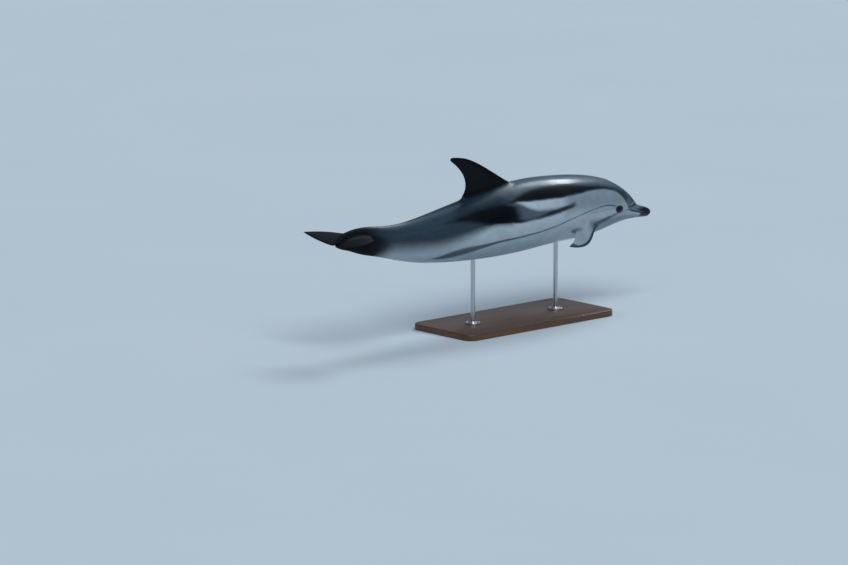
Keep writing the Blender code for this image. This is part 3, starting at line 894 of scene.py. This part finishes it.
# the flipper's own grey, painted paler as a painted sheen on the wet fin
flipper_sheen = np.where(on_flipper, skin_height - 6, OFF_FIN)
leading = np.where(on_flipper, 16 - (chord - flipper_lead(span)) / MM, OFF_FIN)
leading = np.where(on_flipper, np.maximum(leading, (span - 0.86) * FLIPPER_SPAN / MM), leading)
back_fin = np.where((t > 44) & (t < 75) & (points[:, 2] > 0), skin_height - 6, OFF_FIN)
tail = (t - 88 - 3.5 * ease(100, 50, phi)) * mm_per_percent
# the water's film is a share of a full coat, not a distance: thick in a belt over the shoulders
film = 0.08 * ease(92, 84, t) + 0.80 * bell(t - 33, 3.6)

MARKINGS = {
    "belly": belly, "shaded_throat": shaded_throat, "shoulder": shoulder, "band": band, "band line": band_line,
    "tongue": tongue, "rear": rear, "cape": cape, "beak sheen": beak_sheen, "rear top sheen": rear_top_sheen,
    "saddle_sheen": saddle_sheen, "cape dark reflection": cape_dark_reflection, "streak": streak, "patch": patch, "armpit_shade": armpit_shade,
    "lace": lace, "stripe": stripe, "crease rim highlight": crease_rim_highlight, "crease": crease_shade,
    "blush": blush, "tip": tip, "jaw edge": jaw_edge, "lips": lips, "eye patch": eye_patch,
    "tail": tail, "back fin": back_fin, "flipper": flipper_sheen, "leading edge": leading,
    "film": film,
}
for name, values in MARKINGS.items():
    keep_values(skin, name, values)
print("markings:", ", ".join(MARKINGS))

# %% Bend the skin to the leap and put it in place of the solids
FLESH = [
    "beak_upper", "jaw_lower", "melon", "head", "neck", "chest", "trunk_front", "trunk_middle",
    "trunk_rear", "tail_stock_front", "tail_stock_middle", "tail_stock_rear", "dorsal_fin",
    "flipper_left", "flipper_right", "fluke_left", "fluke_right",
]
skin.data.vertices.foreach_set("co", (leap(points) + SHIFT).astype(np.float32).ravel())
skin.data.update()
skin.data.shade_smooth()
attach(skin, "root")
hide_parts(*FLESH)
print("the skin takes the place of", len(FLESH), "nodes")

# %% [markdown]
# ## Wet skin
# A dolphin's skin is smooth as a wet rubber boot: a dull, slightly uneven surface under a thin film
# of water that gives clean, bright reflections of the sky. So the shader has two glosses, a broad
# one for the skin and a tight clear coat for the film. The film is thick over the shoulders, where
# the water still runs, and has nearly drained from the rest, so its weight is a field over the body.
# The flukes' skin is the dullest.
# The colour is painted in layers, palest first, each let in by one marking's distance; a little
# noise keeps the edges from looking cut.

# %% Paint in layers
# marking, millimetres inside the edge where it starts and where it is full, colour, strength, and
# how far noise may shift the edge
PAINT = [
    # painted shade: the white belly painted grey, as the underside is shaded
    ("belly", -26, 34, "#a5b4bd", 0.80, 16),
    # painted shade under the head
    ("shaded_throat", -4, 30, "#6f808a", 0.80, 12),
    ("shoulder", -26, 54, "#6a7a85", 0.75, 20),
    ("band", -5, 7, "#3c4c57", 0.85, 6),
    ("band line", -2.5, 2, "#24323c", 0.80, 2),
    ("tongue", -11, 13, "#43525d", 0.95, 12),
    ("rear", -24, 10, "#172936", 0.95, 7),
    ("cape", -6, 8, "#182a37", 0.95, 9),
    # painted sheen on the dark upper beak
    ("beak sheen", -6, 9, "#74838d", 0.60, 4),
    # painted sheen of the sky on the top of the tail stock
    ("rear top sheen", -20, 26, "#2e424f", 0.70, 16),
    # painted sheen of the sky on the top of the back, lighter than the cape's own dark grey
    ("saddle_sheen", -14, 30, "#51616d", 0.84, 30),
    # the cape's own dark grey, painted almost black as a dark reflection where it meets the flank
    ("cape dark reflection", -8, 16, "#04090e", 0.97, 12),
    ("streak", -7, 6, "#0b1219", 0.85, 6),
    # the side's own dark grey under the fin, painted near black as a dark reflection
    ("patch", -14, 16, "#03060a", 0.98, 14),
    # painted shade behind the flipper's root
    ("armpit_shade", -9, 8, "#0f1a22", 0.85, 6),
    ("lace", -1.6, 1.2, "#5d6e79", 0.55, 2),
    ("stripe", -2.2, 1.6, "#2b3944", 0.80, 3),
    # painted highlight on the forehead's edge behind the crease
    ("crease rim highlight", -4, 4, "#8796a0", 0.55, 3),
    # painted shade in the crease between beak and forehead
    ("crease", -3, 2, "#0c161d", 0.85, 2),
    ("blush", -5, 5, "#6e6259", 0.45, 3),
    ("tip", -6, 6, "#0a1016", 0.94, 4),
    ("jaw edge", -3, 4, "#05090d", 0.96, 3),
    ("lips", -3, 2.5, "#1c242b", 0.85, 3),
    ("eye patch", -3.5, 2.5, "#030608", 0.98, 3),
    ("tail", -110, 20, "#03060a", 0.97, 50),
    ("back fin", -6, 6, "#03060a", 0.98, 5),
    # the flipper's own grey painted paler: partly its colour, partly a painted sheen
    ("flipper", -10, 14, "#8d9ca6", 0.90, 6),
    ("leading edge", -5, 6, "#152b39", 0.92, 5),
]


def paint_skin(tree, place):
    """The flank's grey with each layer mixed over it, and last a faint mottling over them all. Gives
    the socket that carries the colour."""
    noise = add(tree, "ShaderNodeTexNoise", {"Vector": place, "Scale": 26.0, "Detail": 5.0})
    mottle = add(tree, "ShaderNodeTexNoise", {"Vector": place, "Scale": 9.0, "Detail": 6.0})
    shade = add(tree, "ShaderNodeMapRange", {
        "Value": mottle.outputs["Fac"], "From Min": 0.3, "From Max": 0.7, "To Min": 0.0, "To Max": 1.0,
    })
    result = add(tree, "ShaderNodeMix", {
        0: shade.outputs[0], 6: colour("#9fb0ba"), 7: colour("#aebdc6"),
    }, data_type="RGBA").outputs[2]
    for marking, start, full, tint, strength, ragged in PAINT:
        inside = add(tree, "ShaderNodeAttribute", attribute_name=marking)
        moved = add(tree, "ShaderNodeMath", {
            0: noise.outputs["Fac"], 1: float(ragged), 2: inside.outputs["Fac"],
        }, operation="MULTIPLY_ADD")
        amount = add(tree, "ShaderNodeMapRange", {
            "Value": moved.outputs[0], "From Min": start + ragged / 2, "From Max": full + ragged / 2,
            "To Max": strength,
        }, interpolation_type="SMOOTHSTEP")
        mixed = {0: amount.outputs[0], 6: result, 7: colour(tint)}
        result = add(tree, "ShaderNodeMix", mixed, data_type="RGBA").outputs[2]
    blotches = add(tree, "ShaderNodeMapRange", {
        "Value": noise.outputs["Fac"], "From Min": 0.32, "From Max": 0.68,
        "To Min": 0.93, "To Max": 1.07,
    })
    blotched = {0: 1.0, 6: result, 7: blotches.outputs[0]}
    return add(tree, "ShaderNodeMix", blotched, data_type="RGBA", blend_type="MULTIPLY").outputs[2]


def wet_skin():
    """Living skin under a film of water: rough below, and a clear coat with water's IOR above."""
    material, tree = new_material("wet dolphin skin")
    place = add(tree, "ShaderNodeTexCoord").outputs["Object"]
    # swellings of the blubber every 90 mm or so; the skin's ridges are about 0.5 mm apart, here
    # 4 mm, so that they show
    swell = add(tree, "ShaderNodeTexNoise", {"Vector": place, "Scale": 11.0, "Detail": 2.0})
    ridges = add(tree, "ShaderNodeTexNoise", {"Vector": place, "Scale": 240.0, "Detail": 3.0})
    broad = add(tree, "ShaderNodeBump", {
        "Height": swell.outputs["Fac"], "Strength": 0.35, "Distance": 0.004,
    })
    fine = add(tree, "ShaderNodeBump", {
        "Height": ridges.outputs["Fac"], "Strength": 0.25, "Distance": 0.0004,
        "Normal": broad.outputs[0],
    })
    gloss = add(tree, "ShaderNodeMapRange", {
        "Value": swell.outputs["Fac"], "From Min": 0.3, "From Max": 0.7, "To Min": 0.30, "To Max": 0.42,
    })
    past_stock = add(tree, "ShaderNodeAttribute", attribute_name="tail").outputs["Fac"]
    duller = add(tree, "ShaderNodeMapRange", {
        "Value": past_stock, "From Min": -60.0, "From Max": 60.0, "To Min": 0.0, "To Max": 0.28,
    })
    gloss = add(tree, "ShaderNodeMath", {0: gloss.outputs[0], 1: duller.outputs[0]})
    film = add(tree, "ShaderNodeAttribute", attribute_name="film").outputs["Fac"]
    shader = add(tree, "ShaderNodeBsdfPrincipled", {
        "Base Color": paint_skin(tree, place), "Roughness": gloss.outputs[0], "IOR": 1.42,
        "Specular IOR Level": 0.15, "Coat Weight": film, "Coat Roughness": 0.14,
        "Coat IOR": 1.33, "Normal": fine.outputs[0], "Coat Normal": broad.outputs[0],
    })
    add(tree, "ShaderNodeOutputMaterial", {"Surface": shader.outputs[0]})
    return material


skin.data.materials.clear()
skin.data.materials.append(wet_skin())
print("skin painted in", len(PAINT), "layers")

# %% [markdown]
# ## Eyes
# A dolphin's eyeball is large, dark and flat-fronted, and only a lens of it shows between the lids.
# It is a ball whose pole looks out of the head, with a low bulge for the clear cornea. Every point
# keeps its distance from the pole, along and across the body, so the shader can draw a wide pupil
# and the brown iris round it.

# %% Eyeballs
def eyeball(name, side):
    """A ball of circles round its outward pole: radius times sine across, cosine along, plus a
    bell of 0.5 mm at the pole."""
    off_axis = np.linspace(0.01, np.pi - 0.01, 49)[:, None]
    turn = full_turn(64)[None, :]
    reach = EYE_RADIUS + 0.5 * MM * bell(off_axis, 0.45)
    ahead = reach * np.sin(off_axis) * np.cos(turn)
    above = reach * np.sin(off_axis) * np.sin(turn)
    ball = eye_centre + ahead[..., None] * eye_ahead + above[..., None] * eye_up
    ball = ball + (reach * np.cos(off_axis) + 0 * turn)[..., None] * eye_out
    placed = leap(ball * np.array([1, side, 1])) + SHIFT
    eye = new_object(name, placed, [face[::-side] for face in tube_faces(*placed.shape[:2])])
    keep_values(eye, "ahead", ahead / MM)
    keep_values(eye, "above", above / MM)
    keep_values(eye, "off axis", off_axis + 0 * turn)
    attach(eye, "root")
    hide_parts(name)
    return eye


def eye_material():
    """A wet eye: black pupil, dark brown iris with paler spokes, bluish rim, all under clear gloss."""
    material, tree = new_material("wet eye")
    ahead, above, off_axis = (
        add(tree, "ShaderNodeAttribute", attribute_name=name).outputs["Fac"]
        for name in ("ahead", "above", "off axis")
    )
    place = add(tree, "ShaderNodeCombineXYZ", {"X": ahead, "Y": above})
    spokes = add(tree, "ShaderNodeTexNoise", {"Vector": place.outputs[0], "Scale": 1.6, "Detail": 4.0})
    iris = add(tree, "ShaderNodeMix", {
        0: spokes.outputs["Fac"], 6: colour("#060404"), 7: colour("#1a100b"),
    }, data_type="RGBA").outputs[2]
    # the pupil is an ellipse: these turn its half width of 3.8 mm and half height of 2.4 mm to 1
    shares = {0: place.outputs[0], 1: (0.26, 0.42, 0)}
    flat = add(tree, "ShaderNodeVectorMath", shares, operation="MULTIPLY")
    far = add(tree, "ShaderNodeVectorMath", {0: flat.outputs[0]}, operation="LENGTH")
    pupil = add(tree, "ShaderNodeMapRange", {
        "Value": far.outputs["Value"], "From Min": 0.95, "From Max": 1.15, "To Min": 1.0, "To Max": 0.0,
    })
    dark = add(tree, "ShaderNodeMix", {
        0: pupil.outputs[0], 6: iris, 7: colour("#020304"),
    }, data_type="RGBA").outputs[2]
    rim = add(tree, "ShaderNodeMapRange", {"Value": off_axis, "From Min": 0.72, "From Max": 0.86})
    whole = add(tree, "ShaderNodeMix", {
        0: rim.outputs[0], 6: dark, 7: colour("#161c21"),
    }, data_type="RGBA").outputs[2]
    shader = add(tree, "ShaderNodeBsdfPrincipled", {
        "Base Color": whole, "Roughness": 0.12, "IOR": 1.38, "Specular IOR Level": 0.1,
        "Coat Weight": 0.25, "Coat Roughness": 0.03, "Coat IOR": 1.38,
    })
    add(tree, "ShaderNodeOutputMaterial", {"Surface": shader.outputs[0]})
    return material


glossy_eye = eye_material()
for name, side in (("eye_left", 1), ("eye_right", -1)):
    eyeball(name, side).data.materials.append(glossy_eye)
print("eyes:", EYE_RADIUS * 2 / MM, "mm across")

# %% [markdown]
# ## The stand
# The museum's part of the work: a walnut board, two steel rods and the turned flanges that hold
# them, screwed down. The board is an outline swept up an edge profile; everything round is a profile
# turned about the rod's axis. All the places and sizes come from the frame's own nodes.

# %% Board and turned pieces
BOARD_CORNER = 0.05  # radius of the board's corners, seen from above
BOARD_ROUND = 0.006  # radius of its upper edge
BOARD_CHAMFER = 0.0015  # the small flat on its lower edge
CORNER_STEPS = 14


def outline(length, width, radius, steps=CORNER_STEPS):
    """A rectangle with rounded corners: quarter circles about the four corner centres."""
    turn = quarter_turn(steps)
    way = np.concatenate([turn + k * np.pi / 2 for k in range(4)])
    corner = np.repeat([[1, 1], [-1, 1], [-1, -1], [1, -1]], steps, 0)
    middle = corner * (np.array([length, width]) / 2 - radius)
    return middle + radius * np.stack([np.cos(way), np.sin(way)], -1)


def board():
    """The outline at each height of the edge's profile: a small chamfer below, a round above."""
    low, high = np.array(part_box("stand_base"))
    length, width, height = high - low
    middle = (low + high) / 2
    turn = quarter_turn(9)
    edge_in, edge_up = BOARD_ROUND * (1 - np.cos(turn)), height - BOARD_ROUND * (1 - np.sin(turn))
    inset = np.concatenate([[0.010, BOARD_CHAMFER, 0], edge_in, [0.010, 0.016]])
    rise = np.concatenate([[0, 0, BOARD_CHAMFER], edge_up, [height, height]])
    rings = [
        np.column_stack([
            outline(length - 2 * a, width - 2 * a, BOARD_CORNER - a), np.full(4 * CORNER_STEPS, z),
        ])
        for a, z in zip(inset, rise)
    ]
    return np.array(rings) + np.array([middle[0], middle[1], low[2]])


def turned(profile, centre, count=72):
    """A profile of (radius, height) carried round the upright axis through centre."""
    profile = np.asarray(profile)
    turn = full_turn(count)
    circle = np.stack([np.cos(turn), np.sin(turn)], -1)
    rings = np.empty((len(profile), count, 3))
    rings[..., :2] = profile[:, None, :1] * circle + np.asarray(centre)[:2]
    rings[..., 2] = profile[:, 1:]
    return rings


def stand_piece(name, surfaces, material, sharp=35):
    """One piece of the stand from closed surfaces that are all rings of the same count. Edges of
    more than sharp degrees stay crisp."""
    count = surfaces[0].shape[0] * surfaces[0].shape[1]
    one = tube_faces(*surfaces[0].shape[:2])
    faces = [[k * count + n for n in face] for k in range(len(surfaces)) for face in one]
    piece = new_object(name, np.array(surfaces), faces)
    piece.data.set_sharp_from_angle(angle=math.radians(sharp))
    piece.data.materials.append(material)
    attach(piece, "root")
    return piece


board_rings = board()
print("board:", len(board_rings), "rings up its edge")

# %% Walnut and steel
def walnut():
    """Sawn walnut under satin varnish: long wavy figure, fine dark pores, a soft even gloss."""
    material, tree = new_material("varnished walnut")
    place = add(tree, "ShaderNodeTexCoord").outputs["Object"]
    along = add(tree, "ShaderNodeMapping", {"Vector": place, "Scale": (0.55, 5.5, 5.5)})
    figure = add(tree, "ShaderNodeTexNoise", {
        "Vector": along.outputs[0], "Scale": 2.2, "Detail": 6.0, "Distortion": 1.1,
    })
    rings = add(tree, "ShaderNodeTexWave", {
        "Vector": along.outputs[0], "Scale": 1.5, "Distortion": 9.0, "Detail": 3.0,
        "Detail Scale": 0.8,
    }, bands_direction="Y")
    # pores are about 0.2 mm wide and 5 mm long; here 1 mm wide, so that they show
    pore_place = add(tree, "ShaderNodeMapping", {"Vector": place, "Scale": (60, 900, 900)})
    pores = add(tree, "ShaderNodeTexNoise", {
        "Vector": pore_place.outputs[0], "Scale": 1.0, "Detail": 2.0,
    })
    heart = add(tree, "ShaderNodeMix", {
        0: figure.outputs["Fac"], 6: colour("#2c1a10"), 7: colour("#7a5233"),
    }, data_type="RGBA").outputs[2]
    soft = add(tree, "ShaderNodeMapRange", {"Value": rings.outputs["Fac"], "To Max": 0.45})
    ringed = add(tree, "ShaderNodeMix", {
        0: soft.outputs[0], 6: heart, 7: colour("#3a2416"),
    }, data_type="RGBA").outputs[2]
    open_pores = add(tree, "ShaderNodeMapRange", {
        "Value": pores.outputs["Fac"], "From Min": 0.60, "From Max": 0.72, "To Max": 0.55,
    })
    final = add(tree, "ShaderNodeMix", {
        0: open_pores.outputs[0], 6: ringed, 7: colour("#1b100a"),
    }, data_type="RGBA").outputs[2]
    relief = add(tree, "ShaderNodeBump", {
        "Height": pores.outputs["Fac"], "Strength": 0.15, "Distance": 0.0003,
    })
    shader = add(tree, "ShaderNodeBsdfPrincipled", {
        "Base Color": final, "Roughness": 0.48, "Coat Weight": 0.35, "Coat Roughness": 0.22,
        "Normal": relief.outputs[0],
    })
    add(tree, "ShaderNodeOutputMaterial", {"Surface": shader.outputs[0]})
    return material


def steel():
    """Stainless steel turned and rubbed with fine cloth: hair-thin marks, a wide soft highlight."""
    material, tree = new_material("satin stainless steel")
    place = add(tree, "ShaderNodeTexCoord").outputs["Object"]
    # the cloth's marks run round the bar, about 0.05 mm apart; here 0.4 mm, so that they show
    fine = add(tree, "ShaderNodeMapping", {"Vector": place, "Scale": (90, 90, 2600)})
    marks = add(tree, "ShaderNodeTexNoise", {"Vector": fine.outputs[0], "Scale": 1.0, "Detail": 3.0})
    gloss = add(tree, "ShaderNodeMapRange", {
        "Value": marks.outputs["Fac"], "From Min": 0.3, "From Max": 0.7, "To Min": 0.20, "To Max": 0.34,
    })
    relief = add(tree, "ShaderNodeBump", {
        "Height": marks.outputs["Fac"], "Strength": 0.2, "Distance": 0.0001,
    })
    shader = add(tree, "ShaderNodeBsdfPrincipled", {
        "Base Color": colour("#c4c7ca"), "Metallic": 1.0, "Roughness": gloss.outputs[0],
        "Normal": relief.outputs[0],
    })
    add(tree, "ShaderNodeOutputMaterial", {"Surface": shader.outputs[0]})
    return material


wood_finish, steel_finish = walnut(), steel()
walnut_board = stand_piece("walnut_board", [board_rings], wood_finish)
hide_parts("stand_base")
print("finishes:", wood_finish.name, "and", steel_finish.name)

# %% Rods, flanges and screws
ROD_ROUND = 0.001  # radius of the rod's upper edge
RIM_ROUND = 0.0025  # and of the flange's
FLANGE_PLATE = 0.55  # share of the flange's height that is the flat plate, under the hub
HUB_WALL = 0.0075
SCREW_CIRCLE = 0.0285  # radius of the circle on which the screws stand
SCREWS = 4
SCREW_RADIUS = 0.0044
SCREW_DOME = 0.0021
SCREW_LINES = 36


def rod(low, high):
    """A straight bar with a slightly rounded end, from inside the board to inside the belly."""
    radius = (high[0] - low[0]) / 2
    top = high[2] - ROD_ROUND
    turn = quarter_turn(5)
    across, up = radius - ROD_ROUND + ROD_ROUND * np.cos(turn), top + ROD_ROUND * np.sin(turn)
    bar = np.column_stack([np.full(12, radius), np.linspace(low[2], top, 12)])
    return np.concatenate([bar, np.column_stack([across, up])[1:]])


def flange(low, high, bore):
    """A disc with a rounded rim that rises in a hollow curve to a hub round the rod."""
    radius = (high[0] - low[0]) / 2
    thick = high[2] - low[2]
    plate = FLANGE_PLATE * thick
    hub = bore + HUB_WALL
    drop = thick - plate - 0.001
    rim, hollow = quarter_turn(7), quarter_turn(9)
    rim_up = low[2] + plate - RIM_ROUND * (1 - np.sin(rim))
    hollow_up = low[2] + plate + drop * (1 - np.cos(hollow))
    return np.concatenate([
        [(bore, low[2]), (radius - 0.001, low[2]), (radius, low[2] + 0.001)],
        np.column_stack([radius - RIM_ROUND * (1 - np.cos(rim)), rim_up]),
        np.column_stack([hub + drop * (1 - np.sin(hollow)), hollow_up]),
        [(hub - 0.0005, high[2] - 0.0003), (hub - 0.0015, high[2]), (bore, high[2])],
    ])


def screw(centre, low):
    """A domed head: a spherical cap with a six-sided socket sunk in its middle."""
    share = np.array([1.0, 1.0, 0.97, 0.88, 0.75, 0.60, 0.50, 0.46, 0.44, 0.43, 0.30, 0.02])
    sunk = np.array([0, 0, 0, 0, 0, 0, 0, 0, 1.2, 1.4, 1.4, 1.4]) * MM
    height = low + SCREW_DOME * np.sqrt(np.clip(1 - (share * 0.98) ** 2, 0, 1)) - sunk
    height[0] = low - 0.001
    rings = turned(np.column_stack([share * SCREW_RADIUS, height]), centre, SCREW_LINES)
    turn = full_turn(SCREW_LINES)
    six = 0.93 / np.cos((turn + np.pi / 6) % (np.pi / 3) - np.pi / 6)
    inner = np.where(share < 0.48, 1, 0)[:, None, None]
    flat = (rings[..., :2] - np.asarray(centre)[:2]) * (1 + inner * (six[None, :, None] - 1))
    rings[..., :2] = flat + np.asarray(centre)[:2]
    return rings


for place in ("front", "rear"):
    low, high = np.array(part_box("stand_rod_" + place))
    middle = (low + high) / 2
    bore = (high[0] - low[0]) / 2 + 0.0002
    bar = [turned(rod(low, high), middle)]
    bar = stand_piece("steel_rod_" + place, bar, steel_finish)
    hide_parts("stand_rod_" + place)

    low, high = np.array(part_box("stand_flange_" + place))
    disc = [turned(flange(low, high, bore), middle)]
    disc = stand_piece("steel_flange_" + place, disc, steel_finish)
    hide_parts("stand_flange_" + place)

    turns = (np.arange(SCREWS) + 0.5) * 2 * np.pi / SCREWS
    plate_top = low[2] + FLANGE_PLATE * (high[2] - low[2])
    centres = middle[:2] + SCREW_CIRCLE * np.column_stack([np.cos(turns), np.sin(turns)])
    heads = [screw(centre, plate_top) for centre in centres]
    stand_piece("flange_screws_" + place, heads, steel_finish, sharp=40)
print("stand dressed")

# %% [markdown]
# ## Floor, light and camera
# The floor is one wide pale plane, so it is also the backdrop. A glossy animal is lit by what it
# reflects, and its dark markings stay dark only in a dim room. So the room is faint, a wide soft
# light behind the right shoulder models the flank without a glare on it, and a smaller one in front
# on the left lies where the wet back mirrors it. The colours are shown plainly, with no film curve,
# so that black skin can look black. The camera is far off with a long lens, so the sides of the
# body are hardly turned by perspective.

# %% Floor
def floor_material():
    """Matt painted studio floor: pale and cool, with the faintest unevenness."""
    material, tree = new_material("matt studio floor")
    place = add(tree, "ShaderNodeTexCoord").outputs["Object"]
    uneven = add(tree, "ShaderNodeTexNoise", {"Vector": place, "Scale": 0.7, "Detail": 4.0})
    tint = add(tree, "ShaderNodeMix", {
        0: uneven.outputs["Fac"], 6: colour("#c3ced5"), 7: colour("#c9d3da"),
    }, data_type="RGBA").outputs[2]
    shader = add(tree, "ShaderNodeBsdfPrincipled", {"Base Color": tint, "Roughness": 0.85})
    add(tree, "ShaderNodeOutputMaterial", {"Surface": shader.outputs[0]})
    return material


FLOOR_HALF = 60.0
square = np.array([(-1, -1, 0), (1, -1, 0), (1, 1, 0), (-1, 1, 0)]) * FLOOR_HALF
floor = new_object("floor", square, [(0, 1, 2, 3)])
floor.data.materials.append(floor_material())
print("floor:", 2 * FLOOR_HALF, "m across")

# %% Light
LIGHT_DISTANCE = 6  # a distant light shines the same from anywhere; this is clear of the animal

world = bpy.data.worlds.new("soft room")
world.use_nodes = True
world.node_tree.nodes.clear()
room = add(world.node_tree, "ShaderNodeBackground", {"Color": colour("#b6d0e6"), "Strength": 0.25})
add(world.node_tree, "ShaderNodeOutputWorld", {"Surface": room.outputs[0]})
bpy.context.scene.world = world


def placed(name, data, right, up, back, where):
    """A light or a camera put into the scene at a point, looking away from its back direction."""
    item = bpy.data.objects.new(name, data)
    bpy.context.scene.collection.objects.link(item)
    matrix = np.eye(4)
    matrix[:3, :3] = np.stack([right, up, back], 1)
    matrix[:3, 3] = where
    item.matrix_world = matrix.T.tolist()
    return item


def soft_light(name, turn, rise, spread, strength, tint):
    """A distant soft light: turn is degrees from +X towards the left, rise is degrees above the
    floor, and spread is how wide it looks from the animal, in degrees."""
    light = bpy.data.lights.new(name, "SUN")
    light.energy = strength
    light.angle = math.radians(spread)
    light.color = colour(tint)[:3]
    turn, rise = math.radians(turn), math.radians(rise)
    back = np.array([math.cos(rise) * math.cos(turn), math.cos(rise) * math.sin(turn), math.sin(rise)])
    right = unit(np.cross((0, 0, 1), back))
    placed(name, light, right, np.cross(back, right), back, LIGHT_DISTANCE * back)


soft_light("key", -115, 52, 40, 1.9, "#f8fbff")
soft_light("sheen", 22, 43, 20, 1.1, "#eef6ff")
bpy.context.scene.view_settings.view_transform = "Standard"
print("lights:", [light.name for light in bpy.data.lights])

# %% Camera
CAMERA_TURN = math.radians(-42)  # how far the camera stands round from square on to the right side
CAMERA_HEIGHT = math.radians(11)
CAMERA_DISTANCE = 23.1
LENS = 200
SNOUT_IN_VIEW = (1.1057, 0.3486)  # metres right of and above the middle of the view

right = np.array([math.cos(CAMERA_TURN), math.sin(CAMERA_TURN), 0])
level_back = np.array([math.sin(CAMERA_TURN), -math.cos(CAMERA_TURN), 0])
back = math.cos(CAMERA_HEIGHT) * level_back + math.sin(CAMERA_HEIGHT) * np.array([0, 0, 1])
up = np.cross(back, right)
target = SHIFT - SNOUT_IN_VIEW[0] * right - SNOUT_IN_VIEW[1] * up
where = target + CAMERA_DISTANCE * back
camera = placed("camera", bpy.data.cameras.new("camera"), right, up, back, where)
camera.data.lens = LENS
camera.data.sensor_width = 36
camera.data.clip_end = 300
bpy.context.scene.camera = camera
print("camera at", where.round(2), "looking at", target.round(3))
